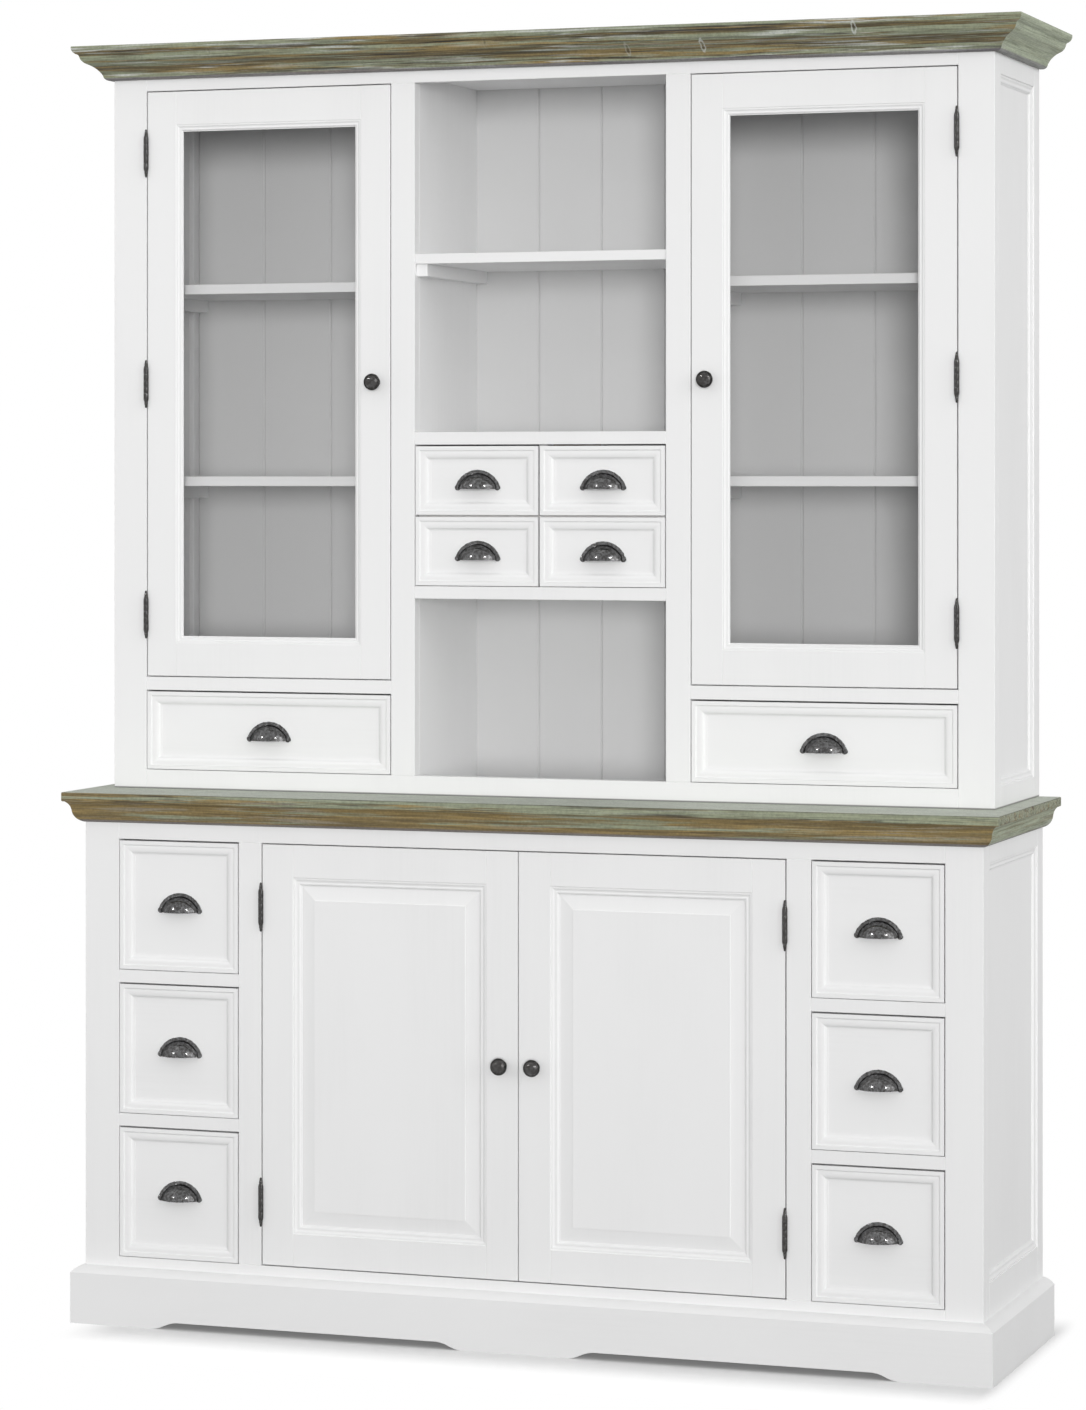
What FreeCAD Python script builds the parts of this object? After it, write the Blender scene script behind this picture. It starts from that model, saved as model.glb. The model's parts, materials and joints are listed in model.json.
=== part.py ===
import FreeCAD, Part
import os

# Two-part buffet cabinet: a base with doors and drawers, and a glazed hutch that stands on it.
# Millimetres, +X to the right, +Y to the back, +Z up, origin under the middle of the cabinet.

# Overall body sizes
BASE_WIDTH = 1580.0
BASE_DEPTH = 430.0
HUTCH_SIDE_STEP = 6.0
HUTCH_DEPTH = 326.0

# Bands of the base front, from the floor up
PLINTH_HEIGHT = 99.0
BASE_BOTTOM_REVEAL = 17.0
BASE_DRAWER_OPENING = 224.0
BASE_DRAWER_RAIL = 22.0
BASE_TOP_REVEAL = 28.0
TOP_MOULDING_HEIGHT = 36.0
TOP_BOARD_THICKNESS = 16.0
DRAWER_ROWS = 3

# Bands of the base front, from the side in
BASE_OUTER_STILE = 63.0
BASE_DRAWER_OPENING_WIDTH = 223.0
BASE_INNER_STILE = 41.5

# Bands of the hutch front, from the counter top up
HUTCH_BOTTOM_RAIL = 33.0
WIDE_DRAWER_OPENING = 138.0
HUTCH_MIDDLE_RAIL = 23.0
GLASS_DOOR_OPENING = 1017.0
HUTCH_TOP_REVEAL = 20.0
CORNICE_HEIGHT = 57.0
LOWER_NICHE_HEIGHT = 301.0
CENTRE_RAIL = 21.5
SMALL_DRAWER_BANK = 240.0
MIDDLE_NICHE_HEIGHT = 286.0

# Bands of the hutch front, from the side in
HUTCH_OUTER_STILE = 61.0
HUTCH_INNER_STILE = 43.0
NICHE_WIDTH = 448.0

# Thicknesses of the carcass boards
FRAME_THICKNESS = 22.0
SIDE_THICKNESS = 24.0
PARTITION_THICKNESS = 20.0
DECK_THICKNESS = 18.0
SHELF_THICKNESS = 17.0
BACK_THICKNESS = 12.0
BACK_RECESS = 8.0
COVER_THICKNESS = 12.0
HUTCH_FLOOR_BOARD = 12.0
EDGE_EASE = 0.7
GROOVE_EASE = 2.5

# Plinth with feet
PLINTH_THICKNESS = 20.0
PLINTH_CROWN = 12.0
BODY_BOTTOM = 40.0
FOOT_CUT = 12.0
FOOT_RAMP = 44.0
CORNER_FOOT = 155.0
CENTRE_FOOT = 188.0

# Counter top
TOP_OVERHANG = 32.0
TOP_STEP = 5.0
TOP_PLANKS = 4

# Cornice
CORNICE_PROJECTION = 57.0
CEILING_RISE = 13.0

# Side panels
SIDE_FRONT_STILE = 20.0
SIDE_REAR_STILE = 40.0
BASE_SIDE_TOP_REVEAL = 29.0
BASE_SIDE_BOTTOM_REVEAL = 57.0
HUTCH_SIDE_TOP_REVEAL = 33.0
HUTCH_SIDE_BOTTOM_RAIL = 36.0

# Framed doors and panels
DOOR_THICKNESS = 21.5
DOOR_STILE = 56.0
DOOR_RAIL = 55.5
PANEL_MOULDING_WIDTH = 14.0
PANEL_MOULDING_HEIGHT = 5.5
PANEL_SETBACK = 7.5
PANEL_EDGE = 7.5
PANEL_RISE = 4.5
PANEL_BEVEL = 24.0
PANEL_STEP = 1.6
PANEL_TONGUE = 6.0

# Glazed doors
GLASS_DOOR_STILE = 54.0
GLASS_DOOR_RAIL = 58.0
GLASS_MOULDING_WIDTH = 11.5
GLASS_MOULDING_HEIGHT = 5.5
GLASS_SETBACK = 6.5
GLASS_THICKNESS = 4.0
BEAD_WIDTH = 9.0
BEAD_HEIGHT = 5.5

# Drawers
DRAWER_FRONT_BOARD = 13.0
DRAWER_MOULDING_WIDTH = 26.0
DRAWER_MOULDING_HEIGHT = 7.0
BOX_WALL = 12.0
BOX_BOTTOM = 6.0
BOX_BOTTOM_RISE = 8.0
BASE_BOX_HEIGHT = 178.0
WIDE_BOX_HEIGHT = 104.0
SMALL_BOX_HEIGHT = 84.0
BANK_DIVIDER = 16.0
RUNNER_HEIGHT = 16.0
RUNNER_TREAD = 14.0
GUIDE_HEIGHT = 40.0

# Clearances
FRONT_GAP = 1.8
DRAWER_TOP_GAP = 2.6
DRAWER_BOTTOM_GAP = 1.1
HINGE_GAP = 2.4
RUN_CLEARANCE = 0.3
BOX_SIDE_CLEARANCE = 3.0
BOX_REAR_CLEARANCE = 8.0

# Shelves, cleats and stops
SHELF_SETBACK = 44.0
CENTRE_SHELF_SETBACK = 3.0
BASE_SHELF_SETBACK = 70.0
CLEAT_WIDTH = 20.0
CLEAT_HEIGHT = 21.0
CLEAT_SETBACK = 6.0
REAR_CLEAT_SETBACK = 70.0
LOWER_SHELF_RISE = 348.0
UPPER_SHELF_RISE = 682.0
BASE_SHELF_RISE = 354.0
STOP_LENGTH = 60.0
STOP_OVERLAP = 9.0
STOP_THICKNESS = 16.0
STOP_DEPTH = 30.0

# Back boards
CABINET_BOARDS = 4
BASE_BACK_BOARDS = 12

# Hinges with ball-and-point ends
HINGE_BARREL_RADIUS = 4.3
HINGE_PIN_RADIUS = 2.0
HINGE_PIN_CLEARANCE = 0.05
HINGE_LENGTH = 55.0
HINGE_FINIAL = 14.0
HINGE_KNUCKLES = 5
HINGE_KNUCKLE_GAP = 0.3
HINGE_STANDOFF = 0.3
HINGE_LEAF_THICKNESS = 1.0
HINGE_LEAF_DEPTH = 18.0
HINGE_LEAF_SETBACK = 0.5
HINGE_INSET = 108.0

# Knobs and cup pulls
KNOB_RADIUS = 14.0
KNOB_PROJECTION = 26.0
KNOB_INSET = 29.0
PULL_WIDTH = 81.5
PULL_PROJECTION = 27.0
PULL_END_HEIGHT = 3.0
PULL_WALL = 2.0
PULL_RIM = 5.5
PULL_RIM_THICKNESS = 2.0
PULL_EAR_RADIUS = 5.0
PULL_EAR_RISE = 2.5
PULL_EAR_THICKNESS = 3.5
BASE_PULL_LIFT = 4.5

# Reach of a cut past the piece that it cuts, and angles in degrees
OVERRUN = 5.0
QUARTER_TURN = 90.0
FULL_TURN = 360.0

# Moulding outlines as shares of width and height: a pair ends a straight line,
# and four values are the middle and the end of an arc
CORNICE_SHARES = [(1, 0), (0.90, 0), (0.80, 0.03, 0.74, 0.14), (0.59, 0.34, 0.38, 0.475),
                  (0.25, 0.57, 0.185, 0.72), (0.16, 0.755), (0.05, 0.82, 0, 0.93), (0, 1), (1, 1)]
TOP_MOULDING_SHARES = [(1, 0), (0.95, 0), (0.54, 0.19, 0.33, 0.58), (0.30, 0.66),
                       (0.18, 0.86, 0, 0.985), (0, 1), (1, 1)]
DRAWER_MOULDING_SHARES = [(0, 0), (0, 1), (0.25, 1), (0.29, 0.80, 0.38, 0.74), (0.58, 0.71, 0.74, 0.52),
                          (0.84, 0.20, 0.96, 0.12), (1, 0.12), (1, 0)]
PANEL_MOULDING_SHARES = [(0, 0), (0, 1), (0.22, 1), (0.34, 0.80, 0.55, 0.70), (0.82, 0.58, 0.90, 0.28),
                         (1, 0.24), (1, 0)]
NICHE_JOINT_SHARES = (0.26, 0.52, 0.78)
BEAD_SHARES = [(0, 0), (0, 1), (0.55, 1), (1, 0.5), (1, 0)]
PLINTH_CROWN_SHARES = [(0.36, 0.58, 1, 1)]
FOOT_RAMP_SHARES = [(0.27, 0.17, 0.5, 0.5), (0.73, 0.83, 1, 1)]
KNOB_SHARES = [(0, 0), (0.64, 0), (0.64, 0.08), (0.40, 0.17, 0.36, 0.34), (0.50, 0.45),
               (0.93, 0.50, 1, 0.66), (0.80, 0.88, 0.20, 1), (0, 1)]
FINIAL_SHARES = [(0, 0), (0.90, 0), (0.90, 0.10), (0.72, 0.22, 0.62, 0.36), (0.66, 0.46, 0.58, 0.56),
                 (0.40, 0.90), (0.34, 0.97, 0.20, 1), (0, 1)]

# Places across the cabinet, right-hand half
base_half = BASE_WIDTH / 2
base_inside = base_half - SIDE_THICKNESS
drawer_outer = base_half - BASE_OUTER_STILE
drawer_inner = drawer_outer - BASE_DRAWER_OPENING_WIDTH
door_outer = drawer_inner - BASE_INNER_STILE
base_partition = drawer_inner - PARTITION_THICKNESS
hutch_half = base_half - HUTCH_SIDE_STEP
hutch_inside = hutch_half - SIDE_THICKNESS
glass_outer = hutch_half - HUTCH_OUTER_STILE
niche_half = NICHE_WIDTH / 2
glass_inner = niche_half + HUTCH_INNER_STILE
cabinet_inner = niche_half + PARTITION_THICKNESS

# Places from front to back
back = (BASE_DEPTH + TOP_OVERHANG) / 2
base_front = back - BASE_DEPTH
base_inner_front = base_front + FRAME_THICKNESS
hutch_front = back - HUTCH_DEPTH
hutch_inner_front = hutch_front + FRAME_THICKNESS
back_boards_rear = back - BACK_RECESS
back_boards_face = back_boards_rear - BACK_THICKNESS
box_rear = back_boards_face - BOX_REAR_CLEARANCE
drawer_front_depth = DRAWER_FRONT_BOARD + DRAWER_MOULDING_HEIGHT

# Heights of the base
opening_bottom = PLINTH_HEIGHT + BASE_BOTTOM_REVEAL
drawer_pitch = BASE_DRAWER_OPENING + BASE_DRAWER_RAIL
opening_top = opening_bottom + DRAWER_ROWS * drawer_pitch - BASE_DRAWER_RAIL
moulding_bottom = opening_top + BASE_TOP_REVEAL
top_underside = moulding_bottom + TOP_MOULDING_HEIGHT
top_surface = top_underside + TOP_BOARD_THICKNESS
floor_underside = opening_bottom - DECK_THICKNESS
base_shelf_top = opening_bottom + BASE_SHELF_RISE

# Heights of the hutch
niche_floor = top_surface + HUTCH_FLOOR_BOARD
hutch_floor = top_surface + HUTCH_BOTTOM_RAIL
wide_drawer_top = hutch_floor + WIDE_DRAWER_OPENING
glass_bottom = wide_drawer_top + HUTCH_MIDDLE_RAIL
glass_top = glass_bottom + GLASS_DOOR_OPENING
shelf_tops = (glass_bottom + LOWER_SHELF_RISE, glass_bottom + UPPER_SHELF_RISE)
cornice_bottom = glass_top + HUTCH_TOP_REVEAL
cornice_top = cornice_bottom + CORNICE_HEIGHT
cover_underside = cornice_top - COVER_THICKNESS
ceiling = glass_top + CEILING_RISE
lower_niche_top = hutch_floor + LOWER_NICHE_HEIGHT
bank_bottom = lower_niche_top + CENTRE_RAIL
bank_top = bank_bottom + SMALL_DRAWER_BANK
bank_middle = (bank_bottom + bank_top) / 2
middle_niche_floor = bank_top + CENTRE_RAIL
centre_shelf_bottom = middle_niche_floor + MIDDLE_NICHE_HEIGHT
centre_shelf_top = centre_shelf_bottom + SHELF_THICKNESS

Vector = FreeCAD.Vector
ORIGIN = Vector(0, 0, 0)
RIGHT = Vector(1, 0, 0)
REAR = Vector(0, 1, 0)
UP = Vector(0, 0, 1)
LEFT = RIGHT * -1
FRONT = REAR * -1
DOWN = UP * -1

nodes = {}


# Basic shapes
def box(x0, x1, y0, y1, z0, z1):
    return Part.makeBox(x1 - x0, y1 - y0, z1 - z0, Vector(x0, y0, z0))


def board(x0, x1, y0, y1, z0, z1, ease=EDGE_EASE):
    """A board with its edges eased."""
    block = box(x0, x1, y0, y1, z0, z1)
    return block.makeChamfer(ease, block.Edges).Solids[0]


def mirrored(solids):
    return [solid.mirror(ORIGIN, RIGHT) for solid in solids]


def both_sides(solids):
    return solids + mirrored(solids)


def scaled_outline(shares, width, height):
    return [tuple(value * (width, height)[i % 2] for i, value in enumerate(step)) for step in shares]


def outline_face(outline, start, first_axis, second_axis):
    """A closed face from lines and arcs given along two axes."""
    def place(first, second):
        return start + first_axis * first + second_axis * second

    edges = []
    here = place(*outline[0])
    for step in outline[1:] + outline[:1]:
        there = place(*step[-2:])
        if len(step) == 2:
            edges.append(Part.makeLine(here, there))
        else:
            edges.append(Part.Arc(here, place(*step[:2]), there).toShape())
        here = there
    return Part.Face(Part.Wire(edges))


def mitred_strip(outline, start, along, inward, out, length, mitred_ends=(True, True)):
    """A moulding from the outermost corner at start, cut at 45 degrees where an end is mitred."""
    strip = outline_face(outline, start, inward, out).extrude(along * length)
    reach = max(step[-2] for step in outline) + OVERRUN
    low = min(step[-1] for step in outline) - OVERRUN
    high = max(step[-1] for step in outline) + OVERRUN
    first_inner = reach if mitred_ends[0] else -OVERRUN
    last_inner = length - reach if mitred_ends[1] else length + OVERRUN
    corners = [(-OVERRUN, -OVERRUN), (length + OVERRUN, -OVERRUN),
               (last_inner, reach), (first_inner, reach)]
    points = [start + out * low + along * t + inward * u for t, u in corners]
    wedge = Part.Face(Part.makePolygon(points + points[:1])).extrude(out * (high - low))
    return strip.common(wedge).Solids[0]


def mitred_frame(outline, corner, width, height):
    """Four mitred strips round an upright rectangle that faces the front."""
    far = corner + RIGHT * width
    top = corner + UP * height
    runs = [(corner, RIGHT, UP, width), (far, UP, LEFT, height),
            (far + UP * height, LEFT, DOWN, width), (top, DOWN, RIGHT, height)]
    return [mitred_strip(outline, start, along, inward, FRONT, length)
            for start, along, inward, length in runs]


def wrap_round(outline, half_width, front, projection, bottom):
    """Front, right and left mouldings that wrap the front corners of a body and stop at the back."""
    corner = Vector(-half_width - projection, front - projection, bottom)
    far = Vector(half_width + projection, front - projection, bottom)
    depth = back - front + projection
    return [
        mitred_strip(outline, corner, RIGHT, REAR, UP, 2 * (half_width + projection)),
        mitred_strip(outline, far, REAR, LEFT, UP, depth, (True, False)),
        mitred_strip(outline, corner, REAR, RIGHT, UP, depth, (True, False)),
    ]


# Framed panels
def raised_panel(x0, x1, z0, z1, rear):
    """A panel whose tongue runs into the frame and whose field rises past a bevel."""
    flat = PANEL_TONGUE + PANEL_MOULDING_WIDTH
    field = flat + PANEL_BEVEL
    top = PANEL_EDGE + PANEL_RISE

    def section(span):
        return [(0, 0), (span, 0), (span, PANEL_EDGE), (span - flat, PANEL_EDGE),
                (span - field, top - PANEL_STEP), (span - field, top), (field, top),
                (field, top - PANEL_STEP), (flat, PANEL_EDGE), (0, PANEL_EDGE)]

    corner = Vector(x0 - PANEL_TONGUE, rear, z0 - PANEL_TONGUE)
    width = x1 - x0 + 2 * PANEL_TONGUE
    height = z1 - z0 + 2 * PANEL_TONGUE
    upright = outline_face(section(width), corner, RIGHT, FRONT).extrude(UP * height)
    level = outline_face(section(height), corner, UP, FRONT).extrude(RIGHT * width)
    return upright.common(level).Solids[0]


def flat_panel(x0, x1, z0, z1, rear):
    """A panel of one thickness whose tongue runs into the frame."""
    return box(x0 - PANEL_TONGUE, x1 + PANEL_TONGUE, rear - PANEL_EDGE, rear,
               z0 - PANEL_TONGUE, z1 + PANEL_TONGUE)


def framed_panel(x0, x1, z0, z1, face, thickness, stiles, rails, make_panel):
    """Stiles, rails, panel and planted moulding, with the face towards the front."""
    left, right = x0 + stiles[0], x1 - stiles[1]
    low, high = z0 + rails[0], z1 - rails[1]
    rear = face + thickness
    panel_rear = face + PANEL_SETBACK + PANEL_EDGE
    members = [
        board(x0, left, face, rear, z0, z1), board(right, x1, face, rear, z0, z1),
        board(left, right, face, rear, z0, low), board(left, right, face, rear, high, z1),
    ]
    groove = flat_panel(left, right, low, high, panel_rear)
    outline = scaled_outline(PANEL_MOULDING_SHARES, PANEL_MOULDING_WIDTH, PANEL_MOULDING_HEIGHT)
    corner = Vector(left, face + PANEL_SETBACK, low)
    solids = [member.cut(groove).Solids[0] for member in members]
    solids.append(make_panel(left, right, low, high, panel_rear))
    return solids + mitred_frame(outline, corner, right - left, high - low)


def side_panel(half_width, front, bottom, top, rails):
    """The right-hand side of a body, turned so that its face looks to the right."""
    solids = framed_panel(front, back, bottom, top, -half_width, SIDE_THICKNESS,
                          (SIDE_FRONT_STILE, SIDE_REAR_STILE), rails, flat_panel)
    for solid in solids:
        solid.rotate(ORIGIN, UP, QUARTER_TURN)
    return solids


# Base
def plinth():
    crown = scaled_outline(PLINTH_CROWN_SHARES, PLINTH_THICKNESS, PLINTH_CROWN)
    flat = PLINTH_HEIGHT - PLINTH_CROWN
    rounded = [(u_mid, flat + w_mid, u, flat + w) for u_mid, w_mid, u, w in crown]
    outline = [(0, 0), (0, flat)] + rounded + [(PLINTH_THICKNESS, 0)]
    front, right, left = wrap_round(outline, base_half, base_front, PLINTH_THICKNESS, 0)
    half = base_half + PLINTH_THICKNESS
    face = base_front - PLINTH_THICKNESS
    bay = half - CORNER_FOOT - CENTRE_FOOT / 2
    for x in (-half + CORNER_FOOT, CENTRE_FOOT / 2):
        front = front.cut(foot_cut(Vector(x, face, 0), bay))
    rear = board(-base_inside, base_inside, back_boards_face - PLINTH_THICKNESS, back_boards_face,
                 0, floor_underside)
    return [front.Solids[0], right, left, rear]


def foot_cut(start, length):
    """The low cut between two feet of the front, with a curved ramp at each end."""
    rise = scaled_outline(FOOT_RAMP_SHARES, FOOT_RAMP, FOOT_CUT)
    fall = [(length - u_mid, w_mid) for u_mid, w_mid, u, w in reversed(rise)]
    ends = [(length - FOOT_RAMP / 2, FOOT_CUT / 2), (length, 0)]
    down = [middle + end for middle, end in zip(fall, ends)]
    up = [(0, -OVERRUN), (0, 0)] + rise
    outline = up + [(length - FOOT_RAMP, FOOT_CUT)] + down + [(length, -OVERRUN)]
    face = outline_face(outline, start + FRONT * OVERRUN, RIGHT, UP)
    return face.extrude(REAR * (PLINTH_THICKNESS + 2 * OVERRUN))


def base_face_frame():
    def member(x0, x1, z0, z1):
        return board(x0, x1, base_front, base_inner_front, z0, z1)

    half = [member(drawer_outer, base_half, BODY_BOTTOM, top_underside),
            member(door_outer, drawer_inner, opening_bottom, opening_top)]
    for row in range(1, DRAWER_ROWS):
        z = opening_bottom + row * drawer_pitch
        half.append(member(drawer_inner, drawer_outer, z - BASE_DRAWER_RAIL, z))
    return both_sides(half) + [
        member(-drawer_outer, drawer_outer, BODY_BOTTOM, opening_bottom),
        member(-drawer_outer, drawer_outer, opening_top, top_underside),
    ]


def base_runners():
    """Guides beside every drawer, and treads under the drawers above the lowest row."""
    half = []
    for row in range(DRAWER_ROWS):
        z = opening_bottom + row * drawer_pitch
        half.append(board(drawer_outer, base_inside, base_inner_front, back_boards_face,
                          z, z + GUIDE_HEIGHT))
        if row:
            half.append(board(drawer_outer - RUNNER_TREAD, base_inside, base_inner_front, back_boards_face,
                              z - RUNNER_HEIGHT, z))
            half.append(board(drawer_inner, drawer_inner + RUNNER_TREAD, base_inner_front, back_boards_face,
                              z - RUNNER_HEIGHT, z))
    return both_sides(half)


def base_top_boards():
    half = base_half + TOP_OVERHANG
    front = base_front - TOP_OVERHANG
    pitch = (back - front) / TOP_PLANKS
    return [board(-half, half, front + i * pitch, front + (i + 1) * pitch, top_underside, top_surface)
            for i in range(TOP_PLANKS)]


def upright_boards(edges, bottom, top):
    """Back boards side by side, with a groove where two meet."""
    solids = []
    for x0, x1 in zip(edges, edges[1:]):
        block = box(x0, x1, back_boards_face, back_boards_rear, bottom, top)
        uprights = [edge for edge in block.Edges if edge.BoundBox.ZLength > edge.BoundBox.XLength
                    and edge.BoundBox.YMax < back_boards_rear]
        solids.append(block.makeChamfer(GROOVE_EASE, uprights).Solids[0])
    return solids


def base_back_boards():
    pitch = 2 * base_inside / BASE_BACK_BOARDS
    edges = [-base_inside + i * pitch for i in range(BASE_BACK_BOARDS + 1)]
    return upright_boards(edges, BODY_BOTTOM, top_underside)


# Hutch
def hutch_face_frame():
    def member(x0, x1, z0, z1):
        return board(x0, x1, hutch_front, hutch_inner_front, z0, z1)

    half = [member(glass_outer, hutch_half, top_surface, cover_underside),
            member(niche_half, glass_inner, hutch_floor, glass_top),
            member(glass_inner, glass_outer, wide_drawer_top, glass_bottom)]
    return both_sides(half) + [
        member(-glass_outer, glass_outer, top_surface, hutch_floor),
        member(-glass_outer, glass_outer, glass_top, cover_underside),
        member(-niche_half, niche_half, lower_niche_top, bank_bottom),
        member(-niche_half, niche_half, bank_top, middle_niche_floor),
    ]


def hutch_decks():
    def deck(x0, x1, top):
        return board(x0, x1, hutch_inner_front, back_boards_face, top - DECK_THICKNESS, top)

    return both_sides([deck(cabinet_inner, hutch_inside, glass_bottom)]) + [
        board(-hutch_inside, hutch_inside, hutch_inner_front, back_boards_face, top_surface, niche_floor),
        deck(-niche_half, niche_half, bank_bottom),
        deck(-niche_half, niche_half, middle_niche_floor),
        deck(-hutch_inside, hutch_inside, ceiling + DECK_THICKNESS),
        board(-hutch_half, hutch_half, hutch_front, back, cover_underside, cornice_top),
    ]


def hutch_shelves():
    side = [board(cabinet_inner, hutch_inside, hutch_front + SHELF_SETBACK, back_boards_face,
                  top - SHELF_THICKNESS, top) for top in shelf_tops]
    centre = board(-niche_half, niche_half, hutch_front + CENTRE_SHELF_SETBACK, back_boards_face,
                   centre_shelf_bottom, centre_shelf_top)
    return both_sides(side) + [centre]


def cleat(x, inward, front, shelf_bottom, setback=CLEAT_SETBACK):
    """A strip under a shelf's end, on the wall at x, towards inward."""
    x0, x1 = sorted((x, x + inward * CLEAT_WIDTH))
    return board(x0, x1, front + setback, back_boards_face, shelf_bottom - CLEAT_HEIGHT, shelf_bottom)


def cleats_and_stops():
    half = []
    for top in shelf_tops:
        for x, inward in ((cabinet_inner, 1), (hutch_inside, -1)):
            half.append(cleat(x, inward, hutch_front + SHELF_SETBACK, top - SHELF_THICKNESS))
    half.append(cleat(base_partition, -1, base_front + BASE_SHELF_SETBACK,
                      base_shelf_top - SHELF_THICKNESS))
    knob_height = (glass_bottom + glass_top) / 2
    half.append(board(cabinet_inner, glass_inner + STOP_OVERLAP, hutch_inner_front,
                      hutch_inner_front + STOP_THICKNESS,
                      knob_height - STOP_LENGTH / 2, knob_height + STOP_LENGTH / 2))
    base_stop = board(-STOP_LENGTH, STOP_LENGTH, base_inner_front, base_inner_front + STOP_THICKNESS,
                      opening_top - STOP_OVERLAP, opening_top - STOP_OVERLAP + STOP_DEPTH)
    centre_front = hutch_front + CENTRE_SHELF_SETBACK
    centre = [cleat(-niche_half, 1, centre_front, centre_shelf_bottom),
              cleat(niche_half, -1, centre_front, centre_shelf_bottom, REAR_CLEAT_SETBACK)]
    return both_sides(half) + centre + [base_stop]


def hutch_back_boards():
    wall = niche_half + PARTITION_THICKNESS / 2
    cabinet_pitch = (hutch_inside - cabinet_inner) / CABINET_BOARDS
    outer = [hutch_inside - i * cabinet_pitch for i in range(CABINET_BOARDS)]
    middle = [2 * niche_half * share - niche_half for share in NICHE_JOINT_SHARES]
    edges = [-x for x in outer] + [-wall] + middle + [wall] + list(reversed(outer))
    return upright_boards(edges, top_surface, cover_underside)


def hutch_drawer_guides():
    """Dividers behind the small drawers, and guides and treads for the wide ones."""
    def strip(x0, x1, z0, z1):
        return board(x0, x1, hutch_inner_front, back_boards_face, z0, z1)

    half = BANK_DIVIDER / 2
    return both_sides([
        strip(cabinet_inner, glass_inner, hutch_floor, hutch_floor + GUIDE_HEIGHT),
        strip(glass_outer, hutch_inside, hutch_floor, hutch_floor + GUIDE_HEIGHT),
        strip(cabinet_inner, glass_inner + RUNNER_TREAD, niche_floor, hutch_floor),
        strip(glass_outer - RUNNER_TREAD, hutch_inside, niche_floor, hutch_floor),
    ]) + [
        strip(-niche_half, niche_half, bank_middle - half, bank_middle + half),
        strip(-half, half, bank_bottom, bank_middle - half),
        strip(-half, half, bank_middle + half, middle_niche_floor - DECK_THICKNESS),
    ]


# Metalwork
def turned(outline, start, radius_axis, axis):
    return outline_face(outline, start, radius_axis, axis).revolve(start, axis, FULL_TURN).Solids[0]


def knob(x, face, z):
    outline = scaled_outline(KNOB_SHARES, KNOB_RADIUS, KNOB_PROJECTION)
    return turned(outline, Vector(x, face, z), RIGHT, FRONT)


def pull_outline(half, end, rise):
    return [(-half, 0), (-half, end), (0, rise, half, end), (half, 0)]


def cup_pull():
    """A half-dome shell with a flat rim and two rounded ears, open below, on the drawer at its back."""
    rise = PULL_PROJECTION + PULL_RIM
    half = PULL_WIDTH / 2
    dome = pull_outline(half - PULL_RIM, PULL_END_HEIGHT, PULL_PROJECTION)
    inside = pull_outline(half - PULL_RIM - PULL_WALL, PULL_END_HEIGHT - PULL_WALL,
                          PULL_PROJECTION - PULL_WALL)
    plate = pull_outline(half, PULL_END_HEIGHT, rise)
    pull = outline_face(dome, ORIGIN, RIGHT, UP).revolve(ORIGIN, RIGHT, QUARTER_TURN)
    pull = pull.fuse(outline_face(plate, ORIGIN, RIGHT, UP).extrude(FRONT * PULL_RIM_THICKNESS))
    for x in (PULL_EAR_RADIUS - half, half - PULL_EAR_RADIUS):
        centre = Vector(x, 0, PULL_EAR_RISE)
        pull = pull.fuse(Part.makeCylinder(PULL_EAR_RADIUS, PULL_EAR_THICKNESS, centre, FRONT))
    pull = pull.cut(outline_face(inside, ORIGIN, RIGHT, UP).revolve(ORIGIN, RIGHT, FULL_TURN)).Solids[0]
    return pull.translated(UP * (PULL_EAR_RADIUS - PULL_EAR_RISE - rise) / 2)


def hinge(edge, towards_door, face, z):
    """Frame leaf, door leaf and pin of a hinge in the gap beside the stile's edge."""
    axis = Vector(edge + towards_door * HINGE_GAP / 2, face - HINGE_BARREL_RADIUS - HINGE_STANDOFF, 0)
    bottom = z - HINGE_LENGTH / 2
    pitch = HINGE_LENGTH / HINGE_KNUCKLES
    knuckle_length = pitch - HINGE_KNUCKLE_GAP
    tab_start = axis.y + (HINGE_PIN_RADIUS + HINGE_BARREL_RADIUS) / 2
    plate_start = face + HINGE_LEAF_SETBACK
    door_edge = edge + towards_door * HINGE_GAP
    plates = [sorted((edge, edge + towards_door * HINGE_LEAF_THICKNESS)),
              sorted((door_edge, door_edge - towards_door * HINGE_LEAF_THICKNESS))]
    bore = Part.makeCylinder(HINGE_PIN_RADIUS + HINGE_PIN_CLEARANCE, HINGE_LENGTH, axis + UP * bottom, UP)
    leaves = []
    for first, (x0, x1) in enumerate(plates):
        leaf = box(x0, x1, plate_start, face + HINGE_LEAF_DEPTH, bottom, bottom + HINGE_LENGTH)
        for i in range(first, HINGE_KNUCKLES, len(plates)):
            low = bottom + i * pitch + HINGE_KNUCKLE_GAP / 2
            barrel = Part.makeCylinder(HINGE_BARREL_RADIUS, knuckle_length, axis + UP * low, UP)
            tab = box(x0, x1, tab_start, plate_start, low, low + knuckle_length)
            leaf = leaf.fuse(barrel.cut(bore)).fuse(tab)
        leaves.append(leaf.Solids[0])
    outline = scaled_outline(FINIAL_SHARES, HINGE_BARREL_RADIUS, HINGE_FINIAL)
    pin = Part.makeCylinder(HINGE_PIN_RADIUS, HINGE_LENGTH, axis + UP * bottom, UP)
    pin = pin.fuse(turned(outline, axis + UP * (bottom + HINGE_LENGTH), RIGHT, UP))
    pin = pin.fuse(turned(outline, axis + UP * bottom, RIGHT, DOWN))
    return leaves[0], leaves[1], pin.Solids[0]


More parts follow.
